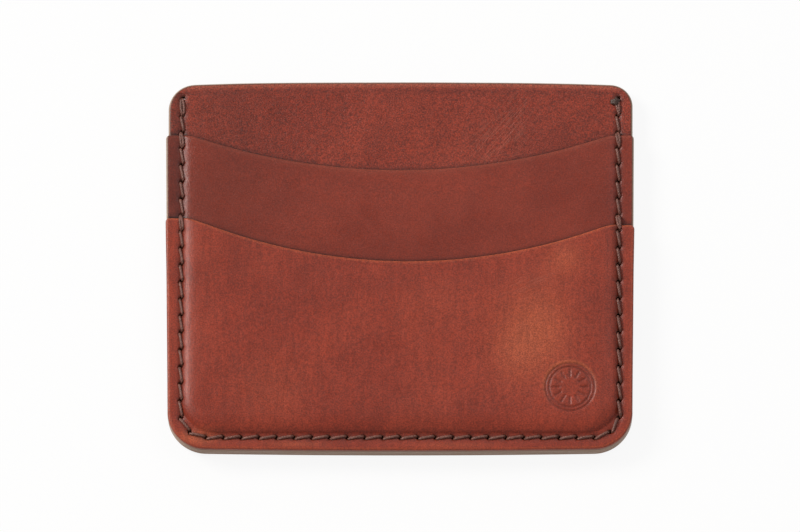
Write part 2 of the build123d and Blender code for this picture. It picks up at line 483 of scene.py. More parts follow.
def mouth_height(x: Array, mouth: float, scoop: float, lean: float = 0.0) -> Array:
    """Height of a scooped mouth's edge across the wallet.

    Args:
        x: places across.
        mouth: height of the mouth's corners.
        scoop: depth of its curve.
        lean: how much lower its right corner is cut.

    Returns:
        The edge's height at each place.
    """
    half = PATTERN.seam_x - PATTERN.shoulder_gap
    reach, softness = 3.0, 1.6
    offsets = np.linspace(-reach, reach, 25)
    weights = bump(offsets, softness)
    total = np.zeros_like(x, dtype=float)
    for offset, weight in zip(offsets, weights):
        total += weight * np.maximum(1.0 - ((x + offset) / half) ** 2, 0.0)
    return mouth - scoop * total / weights.sum() - lean * (0.5 + 0.5 * x / PATTERN.half_width)


# ---------------------------------------------------------------- leather panels


@dataclass
class PanelMesh:
    """Builds one leather panel's mesh: two faces, rounded edges and punched holes."""

    outline: Array
    top: HeightField
    bottom: HeightField
    holes: list[Array]
    rounding: float
    fine: Callable[[Array, Array], Array]
    grain: Face
    seam_step: float = 0.8
    coarse_step: float = 1.6
    jitter: float = 0.08
    edge_start: float = 0.25
    hole_clear: float = 0.06
    rim_clear: float = 0.45
    arc_steps: int = 9
    seed: int = 3

    def _interior(self, rim: Array, fine: bool) -> Array:
        """Places for the mesh's points inside the rim, closer together where detail is wanted.

        Args:
            rim: the face's rim.
            fine: whether the face is the one that is seen.

        Returns:
            The places.
        """
        rng = np.random.default_rng(self.seed)
        low, high = rim.min(axis=0), rim.max(axis=0)
        chosen = []
        levels = (FINE, MEDIUM, WIDE) if fine else (self.seam_step, self.coarse_step)
        for i, step in enumerate(levels):
            columns = np.arange(low[0], high[0], step)
            rows = np.arange(low[1], high[1], step * math.sqrt(0.75))
            x, y = np.meshgrid(columns, rows)
            x = x + (np.arange(len(rows)) % 2)[:, None] * step / 2.0
            x = (x + rng.uniform(-self.jitter, self.jitter, x.shape) * step).ravel()
            y = (y + rng.uniform(-self.jitter, self.jitter, y.shape) * step).ravel()
            if fine:
                want = self.fine(x, y)
            else:
                seam = np.abs(PATTERN.seam_distance(x, y)) < 1.5
                want = np.where(seam, self.seam_step, self.coarse_step)
            last = i == len(levels) - 1
            keep = (want <= step * 1.01) & (want > (levels[i - 1] * 1.01 if i else 0.0))
            if last:
                keep |= want > step
            chosen.append(np.stack([x[keep], y[keep], np.full(keep.sum(), step)], axis=1))
        points = np.concatenate(chosen)
        points = points[inside_loop(rim, points[:, 0], points[:, 1])]
        for loop in (rim, *self.holes):
            near = loop[:: max(1, len(loop) // 400)] if len(loop) > 400 else loop
            if len(loop) < 40:
                centre = loop.mean(axis=0)
                reach = np.linalg.norm(loop - centre, axis=1).max()
                away = np.hypot(points[:, 0] - centre[0], points[:, 1] - centre[1])
                clear = away > reach + self.hole_clear
                points = points[clear | ~self._near_hole(points, loop)]
            else:
                points = points[self._gap_to(points, near) > self.rim_clear * points[:, 2]]
        return points[:, :2]

    @staticmethod
    def _near_hole(points: Array, loop: Array) -> Array:
        """Whether each point is inside a hole's loop or too close to it.

        Args:
            points: the places.
            loop: the hole's outline.

        Returns:
            True for each such place.
        """
        centre = loop.mean(axis=0)
        wide = centre + (loop - centre) * 1.25
        return inside_loop(wide, points[:, 0], points[:, 1])

    @staticmethod
    def _gap_to(points: Array, loop: Array) -> Array:
        """Distance from each point to the nearest of a loop's stretches.

        Args:
            points: the places.
            loop: the loop's points.

        Returns:
            The distances.
        """
        gap = np.full(len(points), np.inf)
        for a, b in zip(loop, np.roll(loop, -1, axis=0)):
            run = b - a
            t = np.clip(((points[:, :2] - a) @ run) / max(run @ run, 1e-12), 0.0, 1.0)
            gap = np.minimum(gap, np.hypot(*(points[:, :2] - a - t[:, None] * run).T))
        return gap

    def _triangles(self, rim: Array, fine: bool) -> tuple[Array, Array]:
        """Points of a face, rim and holes first, and its triangles.

        Args:
            rim: the face's rim.
            fine: whether the face is the one that is seen.

        Returns:
            The points, and the triangles as rows of point numbers.
        """
        loops = [rim, *self.holes]
        inner = self._interior(rim, fine)
        points = np.concatenate([*loops, inner])
        edges = []
        start = 0
        owner = np.full(len(points), -1)
        for number, loop in enumerate(loops):
            count = len(loop)
            edges += [(start + i, start + (i + 1) % count) for i in range(count)]
            owner[start:start + count] = number
            start += count
        result = delaunay_2d_cdt([Vector(p) for p in points], edges, [], 0, 1e-7)
        made = np.array([tuple(v) for v in result[0]])
        origin = np.array([ids[0] if ids else -1 for ids in result[3]])
        if len(made) != len(points) or (origin < 0).any():
            raise ValueError("the panel's outline crosses itself")
        tris = origin[np.array(result[2])]
        first, second, third = points[tris[:, 0]], points[tris[:, 1]], points[tris[:, 2]]
        side, other = second - first, third - first
        area = side[:, 0] * other[:, 1] - side[:, 1] * other[:, 0]
        tris[area < 0] = tris[area < 0][:, ::-1]
        kind = owner[tris]
        same = (kind[:, 0] == kind[:, 1]) & (kind[:, 1] == kind[:, 2])
        middle = points[tris].mean(axis=1)
        drop = same & (kind[:, 0] > 0)
        on_rim = same & (kind[:, 0] == 0)
        drop[on_rim] = ~inside_loop(rim, middle[on_rim, 0], middle[on_rim, 1])
        return points, tris[~drop & (np.abs(area) > 1e-10)]

    def build(self, name: str) -> bpy.types.Object:
        """Makes the panel's object, in metres, with an edge attribute for its finish.

        Args:
            name: the object's name.

        Returns:
            The object.
        """
        rim = inset_loop(self.outline, self.rounding)
        up_points, up_tris = self._triangles(rim, self.grain is Face.UP)
        down_points, down_tris = self._triangles(rim, self.grain is Face.DOWN)
        up_z = self.top(up_points[:, 0], up_points[:, 1])
        down_z = self.bottom(down_points[:, 0], down_points[:, 1])
        verts = [np.column_stack([up_points, up_z]), np.column_stack([down_points, down_z])]
        edge = [np.zeros(len(up_points)), np.zeros(len(down_points))]
        faces = [up_tris, down_tris[:, ::-1] + len(up_points)]
        start = len(up_points) + len(down_points)
        count = len(rim)
        high = self.top(rim[:, 0], rim[:, 1])
        low = self.bottom(rim[:, 0], rim[:, 1])
        edge[0][:count] = self.edge_start
        edge[1][:count] = self.edge_start
        turns = np.linspace(0.0, math.pi, self.arc_steps)[1:-1]
        rings = [np.arange(count)]
        for turn in turns:
            ring = inset_loop(self.outline, self.rounding * (1.0 - math.sin(turn)))
            share = 0.5 - 0.5 * math.cos(turn)
            z = high + (low - high) * share
            verts.append(np.column_stack([ring, z]))
            edge.append(np.full(count, min(1.0, self.edge_start + 1.6 * math.sin(turn))))
            rings.append(np.arange(start, start + count))
            start += count
        rings.append(np.arange(count) + len(up_points))
        quads = [self._strip(a, b) for a, b in zip(rings, rings[1:])]
        first = count
        for loop in self.holes:
            a = np.arange(first, first + len(loop))
            quads.append(self._strip(a + len(up_points), a))
            first += len(loop)
        all_verts = np.concatenate(verts) * MM
        polygons = np.concatenate(faces).tolist() + np.concatenate(quads).tolist()
        mesh = bpy.data.meshes.new(name)
        mesh.from_pydata(all_verts.tolist(), [], polygons)
        mesh.polygons.foreach_set("use_smooth", [True] * len(mesh.polygons))
        layer = mesh.attributes.new("edge", "FLOAT", "POINT")
        layer.data.foreach_set("value", np.concatenate(edge).astype(np.float32))
        flesh = np.zeros(len(polygons), dtype=np.int32)
        if self.grain is Face.UP:
            hidden = slice(len(up_tris), len(up_tris) + len(down_tris))
        else:
            hidden = slice(0, len(up_tris))
        flesh[hidden] = 1
        hole_quads = sum(len(loop) for loop in self.holes)
        if hole_quads:
            flesh[len(polygons) - hole_quads:] = 1
        mesh.polygons.foreach_set("material_index", flesh)
        mesh.update()
        thing = bpy.data.objects.new(name, mesh)
        bpy.context.scene.collection.objects.link(thing)
        return thing

    @staticmethod
    def _strip(a: Array, b: Array) -> Array:
        """Quads between two rings of the same number of points, facing outwards."""
        return np.column_stack([a, b, np.roll(b, -1), np.roll(a, -1)])


def paint(thing: bpy.types.Object, name: str, values: Array) -> None:
    """Stores a number at each of a mesh's points, for its finish to read."""
    layer = thing.data.attributes.new(name, "FLOAT", "POINT")
    layer.data.foreach_set("value", values.astype(np.float32))


def places(thing: bpy.types.Object) -> Array:
    """A mesh's points, in millimetres.

    Args:
        thing: the object.

    Returns:
        One row for each point.
    """
    flat = np.zeros(len(thing.data.vertices) * 3, dtype=np.float32)
    thing.data.vertices.foreach_get("co", flat)
    return flat.reshape(-1, 3).astype(float) / MM


# ---------------------------------------------------------------- finishes


def feed(tree: bpy.types.NodeTree, socket: Socket, value: object) -> None:
    """Links a socket to another one, or gives it a plain value.

    Args:
        tree: the node tree.
        socket: the input to feed.
        value: another node's output, or a value.
    """
    if isinstance(value, Socket):
        tree.links.new(value, socket)
    else:
        socket.default_value = value


def sum_node(tree: bpy.types.NodeTree, operation: str, a: object, b: object = 0.0) -> Socket:
    """Adds a Math node to a tree.

    Args:
        tree: the node tree.
        operation: what it does.
        a: its first number or socket.
        b: its second number or socket.

    Returns:
        Its result.
    """
    made = tree.nodes.new("ShaderNodeMath")
    made.operation = operation
    for socket, value in zip(made.inputs, (a, b)):
        feed(tree, socket, value)
    return made.outputs[0]


class Graph:
    """A small helper that lays out a material's nodes."""

    def __init__(self, name: str) -> None:
        """Starts an empty material with an output.

        Args:
            name: the material's name.
        """
        self.material = bpy.data.materials.new(name)
        self.material.use_nodes = True
        self.tree = self.material.node_tree
        self.tree.nodes.clear()
        self.output = self.tree.nodes.new("ShaderNodeOutputMaterial")
        self.coordinates = self.tree.nodes.new("ShaderNodeTexCoord").outputs["Object"]

    def node(self, kind: str, settings: Optional[dict] = None, **inputs: object) -> bpy.types.Node:
        """Adds a node.

        Args:
            kind: the node's type.
            settings: its own properties.
            inputs: values or sockets by input name, with _ for a space.

        Returns:
            The node.
        """
        made = self.tree.nodes.new(kind)
        for key, value in (settings or {}).items():
            setattr(made, key, value)
        for key, value in inputs.items():
            name = key.replace("_", " ")
            feed(self.tree, made.inputs[name], value)
        return made

    def math(self, operation: str, a: object, b: object = 0.0) -> Socket:
        """The result of a sum on two numbers."""
        return sum_node(self.tree, operation, a, b)

    def ramp(
        self, value: Socket, low: float, high: float, start: float = 0.0, end: float = 1.0
    ) -> Socket:
        """Maps a number from low..high to start..end, clamped.

        Args:
            value: the number to map.
            low: where the ramp starts.
            high: where it ends.
            start: its result at low.
            end: its result at high.

        Returns:
            The mapped number.
        """
        made = self.node("ShaderNodeMapRange", {"interpolation_type": "SMOOTHSTEP"})
        self.tree.links.new(value, made.inputs["Value"])
        for key, number in (("From Min", low), ("From Max", high), ("To Min", start), ("To Max", end)):
            made.inputs[key].default_value = number
        return made.outputs["Result"]

    def noise(
        self,
        scale: float,
        detail: float = 3.0,
        rough: float = 0.55,
        stretch: tuple[float, float, float] = (1.0, 1.0, 1.0),
        turn: float = 0.0,
    ) -> Socket:
        """Fractal noise in the piece's own space, from 0 to 1, drawn out along its turned axes.

        Args:
            scale: its scale, for each metre.
            detail: its octaves.
            rough: how strong the finer octaves are.
            stretch: how far it is drawn out along each axis.
            turn: how far it is turned, in degrees.

        Returns:
            The noise.
        """
        turned = {"Scale": stretch, "Rotation": (0.0, 0.0, math.radians(turn))}
        kind = {"vector_type": "TEXTURE"}
        where = self.node("ShaderNodeMapping", kind, Vector=self.coordinates, **turned)
        values = {"Vector": where.outputs[0], "Scale": scale, "Detail": detail, "Roughness": rough}
        return self.node("ShaderNodeTexNoise", **values).outputs["Fac"]

    def cells(self, scale: float) -> Socket:
        """Distance to the nearest of scattered cells."""
        return self.node("ShaderNodeTexVoronoi", Vector=self.coordinates, Scale=scale).outputs["Distance"]

    def blend(self, factor: object, a: object, b: object, mode: str = "MIX") -> Socket:
        """Mixes two colours.

        Args:
            factor: the share of the second colour.
            a: the first colour.
            b: the second colour.
            mode: how they are mixed.

        Returns:
            The mixed colour.
        """
        made = self.tree.nodes.new("ShaderNodeMix")
        made.data_type = "RGBA"
        made.blend_type = mode
        for socket, value in ((made.inputs[0], factor), (made.inputs[6], a), (made.inputs[7], b)):
            feed(self.tree, socket, (*value, 1.0) if isinstance(value, tuple) else value)
        return made.outputs[2]

    def attribute(self, name: str) -> Socket:
        """A number stored on the mesh."""
        return self.node("ShaderNodeAttribute", {"attribute_name": name}).outputs["Fac"]

    def bumps(self, height: Socket, distance: float, normal: Optional[Socket] = None) -> Socket:
        """A bumped normal, distance metres deep.

        Args:
            height: the heights, from 0 to 1.
            distance: the depth of the bumps.
            normal: a normal to add them to.

        Returns:
            The bumped normal.
        """
        made = self.node("ShaderNodeBump", Height=height, Distance=distance)
        made.inputs["Strength"].default_value = 1.0
        if normal is not None:
            self.tree.links.new(normal, made.inputs["Normal"])
        return made.outputs["Normal"]

    def surface(self, **inputs: object) -> bpy.types.Material:
        """Ends the graph in a Principled surface with the given inputs.

        Args:
            inputs: the surface's values or sockets by input name.

        Returns:
            The finished material.
        """
        shader = self.node("ShaderNodeBsdfPrincipled", None, **inputs)
        self.tree.links.new(shader.outputs["BSDF"], self.output.inputs["Surface"])
        return self.material


@dataclass(frozen=True)
class LeatherFinish:
    """Waxed vegetable-tanned leather: its colours and its grain."""

    name: str
    base: Colour
    deep: Colour
    # The colour of wear, and of the painted highlights on rims, mouths, the top edge and the dial.
    wear_and_highlight: Colour
    edge: Colour = (0.34, 0.22, 0.155)
    # The line colour is painted shade in the crevice where a face turns into its edge.
    line: Colour = (0.06, 0.016, 0.01)
    fold: Colour = (0.36, 0.085, 0.048)
    rough: float = 0.4
    mottle: float = 0.5
    grain: float = 0.00003
    streak: float = 0.0
    fold_turn: float = 0.0
    fold_light: float = 0.5
    fold_depth: float = 0.00004
    # The strength of the painted highlight along rounded rims.
    rim_highlight: float = 0.35
    specular: float = 0.4
    cloud_scale: float = 45.0
    wide_scale: float = 190.0
    gloss_scale: float = 300.0
    wrinkle_scale: float = 420.0
    middle_scale: float = 900.0
    streak_scale: float = 1100.0
    pore_scale: float = 2600.0
    grain_scale: float = 3200.0
    speck_scale: float = 3300.0
    fold_scale: float = 3400.0
    fold_stretch: float = 16.0
    streak_stretch: float = 10.0

    def material(self) -> bpy.types.Material:
        """Builds the finish.

        Returns:
            The material.
        """
        g = Graph(self.name)
        lines = g.noise(self.fold_scale, 2.0, 0.45, (self.fold_stretch, 1.0, 1.0), self.fold_turn)
        folds = g.math("MULTIPLY", g.ramp(lines, 0.44, 0.7), g.attribute("folds"))
        colour = g.blend(g.math("MULTIPLY", folds, self.fold_light), self.dye(g), self.fold)
        burnish = g.math("MULTIPLY", g.attribute("edge"), g.attribute("raw"))
        # Painted shade: a dark line where the face meets the bare edge, then the tan edge colour.
        colour = g.blend(g.ramp(burnish, 0.22, 0.5), colour, self.line)
        colour = g.blend(g.ramp(burnish, 0.6, 0.95), colour, self.edge)
        pores = g.ramp(g.cells(self.pore_scale), 0.0, 0.55)
        fine = g.math("ADD", g.math("MULTIPLY", pores, 0.5), g.noise(self.grain_scale, 4.0, 0.7))
        wrinkle = g.math("MULTIPLY", g.noise(self.wrinkle_scale, 5.0, 0.6), 1.6)
        normal = g.bumps(g.math("ADD", fine, wrinkle), self.grain)
        normal = g.bumps(folds, self.fold_depth, normal)
        gloss = g.noise(self.gloss_scale, 3.0, 0.6)
        rough = g.ramp(gloss, 0.25, 0.75, self.rough - 0.05, self.rough + 0.06)
        inputs = {"Base_Color": colour, "Roughness": rough, "Normal": normal}
        return g.surface(Specular_IOR_Level=self.specular, **inputs)

    def dye(self, g: Graph) -> Socket:
        """The leather's colour: clouds, patches of wear with painted highlights, speckle, drawn streaks and
        painted shade.

        Args:
            g: the material's graph.

        Returns:
            The colour.
        """
        cloud = g.ramp(g.noise(self.cloud_scale, 4.0, 0.6), 0.36, 0.66)
        colour = g.blend(cloud, self.deep, self.base)
        # Painted highlight: a lighter line along every rounded rim, read from the edge attribute.
        rim = g.math("MULTIPLY", g.ramp(g.attribute("edge"), 0.05, 0.25), self.rim_highlight)
        wear_and_highlight = g.math("MAXIMUM", g.ramp(g.attribute("wear_and_highlight"), 0.0, 1.0), rim)
        colour = g.blend(wear_and_highlight, colour, self.wear_and_highlight)
        speck = self.vary(g, g.noise(self.speck_scale, 2.0, 0.6), 0.5 * self.mottle)
        mid = self.vary(g, g.noise(self.middle_scale, 3.0, 0.65), 0.12 * self.mottle)
        wide = self.vary(g, g.noise(self.wide_scale, 3.0, 0.6), 0.06 * self.mottle)
        shade = g.math("MULTIPLY", g.math("MULTIPLY", speck, mid), wide)
        if self.streak:
            drawn = g.noise(self.streak_scale, 3.0, 0.6, (1.0, self.streak_stretch, 1.0))
            shade = g.math("MULTIPLY", shade, self.vary(g, drawn, self.streak))
        # Painted shade: the shade attribute darkens the colour here.
        shade = g.math("MULTIPLY", shade, g.math("SUBTRACT", 1.0, g.attribute("shade")))
        grey = g.node("ShaderNodeCombineColor", Red=shade, Green=shade, Blue=shade).outputs[0]
        return g.blend(1.0, colour, grey, "MULTIPLY")

    @staticmethod
    def vary(g: Graph, noise: Socket, amount: float) -> Socket:
        """Turns noise into a factor about 1."""
        return g.ramp(noise, 0.28, 0.72, 1.0 - amount, 1.0 + amount)


@dataclass(frozen=True)
class FleshFinish:
    """The rough inner side of the leather."""

    name: str = "flesh_side"
    light: Colour = (0.27, 0.12, 0.075)
    dark: Colour = (0.12, 0.04, 0.025)
    nap_scale: float = 1500.0
    nap_depth: float = 0.00008

    def material(self) -> bpy.types.Material:
        """Builds the finish.

        Returns:
            The material.
        """
        g = Graph(self.name)
        nap = g.noise(self.nap_scale, 6.0, 0.75)
        colour = g.blend(g.ramp(nap, 0.3, 0.7), self.dark, self.light)
        normal = g.bumps(g.noise(2500.0, 5.0, 0.8), self.nap_depth)
        return g.surface(Base_Color=colour, Roughness=0.85, Normal=normal)


@dataclass(frozen=True)
class ThreadFinish:
    """Waxed twisted thread."""

    name: str = "waxed_thread"
    light: Colour = (0.26, 0.105, 0.078)
    dark: Colour = (0.09, 0.03, 0.02)
    burnt: Colour = (0.05, 0.022, 0.014)
    fibre_scale: float = 6000.0
    fibre_depth: float = 0.00003

    def material(self) -> bpy.types.Material:
        """Builds the finish.

        Returns:
            The material.
        """
        g = Graph(self.name)
        colour = g.blend(g.ramp(g.noise(2500.0, 4.0, 0.7), 0.3, 0.7), self.dark, self.light)
        colour = g.blend(g.attribute("melt"), colour, self.burnt)
        normal = g.bumps(g.noise(self.fibre_scale, 4.0, 0.7), self.fibre_depth)
        return g.surface(Base_Color=colour, Roughness=0.42, Normal=normal)


# ---------------------------------------------------------------- the panels


def slot_hole(run: float) -> Array:
    """The lens-shaped slot that a pricking iron leaves in the seam.

    Args:
        run: distance along the seam from its first hole.

    Returns:
        The slot's outline, anticlockwise.
    """
    at, along, out = PATTERN.seam_place(run)
    axis = (along + out).normalized()
    across = Vector((-axis.y, axis.x, 0.0))
    loop = []
    for turn in np.linspace(0.0, 2.0 * math.pi, 14, endpoint=False):
        aside = math.sin(turn) * abs(math.sin(turn)) ** 0.3 * PATTERN.slot_width / 2.0
        place = at + axis * (math.cos(turn) * PATTERN.slot_length / 2.0) + across * aside
        loop.append((place.x, place.y))
    return np.array(loop)


@dataclass(frozen=True)
class StitchPress:
    """How the stitches pull the leather down: a groove along the seam, and a dimple at each hole."""

    reach: float = 3.0
    overrun: float = 1.2
    dimple: float = 0.2
    dimple_width: float = 0.75
    groove: float = 0.14
    groove_width: float = 0.8

    def at(self, x: Array, y: Array) -> Array:
        """How far the leather is pulled down at each place.

        Args:
            x: places across.
            y: places up.

        Returns:
            The depths.
        """
        across = PATTERN.seam_distance(x, y)
        run = PATTERN.seam_run(x, y)
        pitch = PATTERN.pitch
        inside = (run > -self.overrun) & (run < pitch * PATTERN.stitches + self.overrun)
        nearest = run - np.clip(np.round(run / pitch), 0, PATTERN.stitches) * pitch
        hole = bump(np.hypot(nearest, across), self.dimple_width)
        line = bump(across, self.groove_width)
        near = inside & (np.abs(across) < self.reach)
        return np.where(near, self.dimple * hole + self.groove * line, 0.0)


PRESS = StitchPress()


@dataclass(frozen=True)
class Moulding:
    """A panel's moulded rise, from 0 at its foot to 1 on the flat, steep at first."""

    foot: float
    bend: float
    outset: float = 0.2
    heel: float = 0.5
    heel_share: float = 0.4

    def at(self, x: Array, y: Array) -> Array:
        """The rise at each place.

        Args:
            x: places across.
            y: places up.

        Returns:
            Numbers from 0 to 1.
        """
        half = PATTERN.seam_x + self.outset
        inward = -box_distance(x, y, half, self.foot, PATTERN.flat_radius + PATTERN.slope)
        start = np.clip(inward / self.heel, 0.0, 1.0)
        rise = 1.0 - np.exp(-np.maximum(inward, 0.0) / self.bend)
        return rise * (self.heel_share + (1.0 - self.heel_share) * start)


def top_edge(x: Array) -> Array:
    """Height of the wallet's gently bowed top edge."""
    return PATTERN.top - PATTERN.top_fall * np.abs(x / PATTERN.half_width) ** 3


def bottom_edge(half: float) -> Line:
    """Points of the bottom edge, which bows down a little between its corners."""
    across = np.linspace(-half, half, 41)[1:-1]
    return [(x, PATTERN.bottom + PATTERN.bottom_bow * (x / half) ** 2) for x in across]


@dataclass
class LeatherPanel:
    """A leather panel of the wallet."""

    node: str
    slot: Slot
    finish: LeatherFinish
    grain: Face = Face.UP
    rounding: float = 0.45
    edge_step: float = 0.42
    edge_points: int = 41
    inset: float = 0.0
    creases: list[Crease] = field(default_factory=list)
    cover: Optional[tuple[float, float, float]] = None
    left_flange_shade: float = 0.0
    dark: list[Patch] = field(default_factory=list)
    folded: list[Patch] = field(default_factory=list)
    rests_on: str = ""
    press_shade: float = 1.9
    mouth_shadow: float = 0.8

    def outline(self) -> Array:
        """The body's outline: both full-height panels have it.

        Returns:
            The outline's points, anticlockwise.
        """
        p = PATTERN
        foot = p.half_width - p.draw_in
        across = np.linspace(p.half_width, -p.half_width, self.edge_points)[1:-1]
        top = list(zip(across, top_edge(across)))
        shoulder = float(top_edge(np.array([p.half_width]))[0])
        corners = [
            (-foot, p.bottom + p.bottom_bow, p.bottom_radius),
            (foot, p.bottom + p.bottom_bow, p.bottom_radius),
            (p.half_width + p.corner_out, shoulder, p.top_radius - p.corner_tighter),
            (-p.half_width, shoulder, p.top_radius),
        ]
        loop = rounded_loop(corners, {0: bottom_edge(foot), 2: top}, self.edge_step)
        return inset_loop(loop, self.inset * smooth(-loop[:, 1], 0.0, 20.0))

    def pocket_outline(self, mouth: float, scoop: float, lean: float) -> Array:
        """A pocket's outline, with its scooped mouth.

        Args:
            mouth: height of the mouth's left corner.
            scoop: depth of its curve.
            lean: how much lower its right corner is cut.

        Returns:
            The outline's points, anticlockwise.
        """
        p = PATTERN
        foot = p.half_width - p.draw_in
        side = p.half_width + p.overhang
        across = np.linspace(side, -side, 261)[1:-1]
        edge = list(zip(across, mouth_height(across, mouth, scoop, lean)))
        corners = [
            (-foot, p.bottom + p.bottom_bow, p.bottom_radius),
            (foot, p.bottom + p.bottom_bow, p.bottom_radius),
            (side, float(mouth_height(np.array([side]), mouth, scoop, lean)[0]), p.mouth_radius),
            (-side, mouth, p.mouth_radius),
        ]
        loop = rounded_loop(corners, {0: bottom_edge(foot), 2: edge}, self.edge_step)
        return inset_loop(loop, self.inset * smooth(mouth - loop[:, 1], 1.0, 14.0))

    def holes(self) -> list[Array]:
        """The slots of the seam that go through the panel."""
        runs = [index * PATTERN.pitch for index in range(PATTERN.stitches + 1)]
        return [slot_hole(run) for run in runs if PATTERN.seam_place(run)[0].y < self.hole_top()]

    def fine(self, x: Array, y: Array) -> Array:
        """The distance wanted between the mesh's points at each place."""
        across = PATTERN.seam_distance(x, y)
        return np.where((across > -2.0) & (across < 1.1), FINE, MEDIUM)

    def top(self, x: Array, y: Array) -> Array:
        """Height of the panel's upper face."""
        raise NotImplementedError

    def bottom(self, x: Array, y: Array) -> Array:
        """Height of the panel's lower face."""
        raise NotImplementedError

    def folds(self, x: Array, y: Array) -> Array:
        """Height of the panel's creases.

        Args:
            x: places across.
            y: places up.

        Returns:
            The heights.
        """
        total = np.zeros_like(x, dtype=float)
        for crease in self.creases:
            total += crease.at(x, y)
        return total

    def wear_and_highlight(self, points: Array) -> Array:
        """How much wear, and how much painted highlight, the leather shows at each point."""
        return np.zeros(len(points))

    def shape(self) -> Array:
        """The panel's outline."""
        return self.outline()

    def build(self, flesh: bpy.types.Material) -> None:
        """Makes, finishes and attaches the panel.

        Args:
            flesh: the material of the inner side.
        """
        shape, holes = self.shape(), self.holes()
        maker = PanelMesh(shape, self.top, self.bottom, holes, self.rounding, self.fine, self.grain)
        thing = maker.build(self.node + "_leather")
        points = places(thing)
        paint(thing, "wear_and_highlight", self.wear_and_highlight(points))
        paint(thing, "shade", self.shade(points))
        paint(thing, "raw", self.raw(points))
        paint(thing, "folds", np.clip(patched(self.folded, points[:, 0], points[:, 1]), 0.0, 1.0))
        thing.data.materials.append(self.finish.material())
        thing.data.materials.append(flesh)
        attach(thing, BODY)
        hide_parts(self.node)
        flat, area = self.cut()
        LOG.info("%s: %d faces", self.node, len(thing.data.polygons))

    def cut(self) -> tuple[Place, float]:
        """The width and height that the panel is cut to, and its flat area, in metres.

        Returns:
            The size, and the area in square metres.
        """
        loop = self.shape() * MM
        after = np.roll(loop, -1, axis=0)
        area = 0.5 * float(np.sum(loop[:, 0] * after[:, 1] - loop[:, 1] * after[:, 0]))
        width, height = (float(v) for v in loop.max(axis=0) - loop.min(axis=0))
        LOG.info("%s: cut %.1f by %.1f mm, %.0f mm2", self.node, width / MM, height / MM, area / MM**2)
        return (width, height), area

    def hole_top(self) -> float:
        """Height above which the panel has no holes."""
        return PATTERN.top

    def shade(self, points: Array) -> Array:
        """How much darker the leather is painted: painted shade in the press of the stitches and on the
        left flange, a painted shadow under a pocket's mouth, and darker patches.

        Args:
            points: the mesh's points.

        Returns:
            Numbers from 0 to DARKEST.
        """
        x, y = points[:, 0], points[:, 1]
        # Painted shade in the stitches' groove and round each hole.
        dark = self.press_shade * PRESS.at(x, y)
        outside = smooth(PATTERN.seam_distance(x, y), 0.2, 1.0)
        # Painted shade on the flange left of the seam, and the listed darker patches.
        dark += self.left_flange_shade * outside * smooth(-x, 0.0, 20.0) + patched(self.dark, x, y)
        if self.cover is not None:
            # Painted shadow under a covering pocket's mouth and just beyond its edge.
            above = y - mouth_height(x, *self.cover)
            dark += self.mouth_shadow * np.exp(-np.maximum(above - 0.25, 0.0) / 0.35)
        return np.clip(dark, 0.0, DARKEST)

    def raw(self, points: Array) -> Array:
        """How bare the cut edge is at each point: fully so round the outside."""
        return np.ones(len(points))


@dataclass
class BackPanel(LeatherPanel):
    """The rear panel, whose belly rests on the surface."""

    waves: Waves = Waves(11, 26.0, 0.03)
    moulding: Moulding = Moulding(PATTERN.seam_bottom + PATTERN.foot_gap, 1.5)

    def fall(self, x: Array, y: Array) -> Array:
        """How far the panel hangs below its level at the seam."""
        return PATTERN.note_gap * self.moulding.at(x, y)

    def top(self, x: Array, y: Array) -> Array:
        """Height of the panel's inner face."""
        return PATTERN.body_level - self.fall(x, y) - LAYER_CLEARANCE

    def bottom(self, x: Array, y: Array) -> Array:
        """Height of the panel's outer face, on the surface in its middle."""
        ripple = np.maximum(self.waves.at(x, y), 0.0) * smooth(-PATTERN.seam_distance(x, y), 2.0, 9.0)
        return PATTERN.back_level - self.fall(x, y) + PRESS.at(x, y) + ripple


@dataclass
class BodyPanel(LeatherPanel):
    """The tall panel behind the card pockets."""

    waves: Waves = Waves(5, 22.0, 0.05)
    roll_above: float = 0.35
    roll_below: float = 0.25
    roll_width: float = 1.4
    slack: float = 0.06
    fold_line: float = 2.2
    crease_shade: float = 0.16

    def roll(self, x: Array, y: Array) -> Array:
        """How far the panel is rolled off at the mouth of the note pocket, as a share."""
        return bump(np.minimum(top_edge(x) - y, 4.0), self.roll_width)

    def top(self, x: Array, y: Array) -> Array:
        """Height of the panel's upper face.

        Args:
            x: places across.
            y: places up.

        Returns:
            The heights.
        """
        p = PATTERN
        shown = smooth(y, p.upper_mouth - 9.0, p.upper_mouth - 4.0)
        ripple = self.waves.at(x, y) * smooth(-p.seam_distance(x, y), 0.5, 5.0)
        level = p.upper_level - self.roll_above * self.roll(x, y) - PRESS.at(x, y) * shown
        return level + (ripple - self.slack + self.folds(x, y)) * shown

    def bottom(self, x: Array, y: Array) -> Array:
        """Height of the panel's lower face."""
        return PATTERN.body_level - self.roll_below * self.roll(x, y)

    def fine(self, x: Array, y: Array) -> Array:
        """Close points only where the pockets leave the panel bare."""
        shown = y > PATTERN.upper_mouth - 9.5
        return np.where(shown, super().fine(x, y), WIDE)

    def wear_and_highlight(self, points: Array) -> Array:
        """Lighter along the top edge: a painted highlight where the rolled-off edge faces the light, and
        wear where the panel is handled.
        """
        return bump(np.maximum(top_edge(points[:, 0]) - points[:, 1] - 0.4, 0.0), 0.9)

    def shade(self, points: Array) -> Array:
        """Also painted shade in the creased line below the top edge.

        Args:
            points: the mesh's points.

        Returns:
            Numbers from 0 to DARKEST.
        """
        below = top_edge(points[:, 0]) - points[:, 1]
        # Painted shade in the crease line below the top edge.
        fold = self.crease_shade * bump(below - self.fold_line, 0.5)
        return np.clip(super().shade(points) + fold, 0.0, DARKEST)


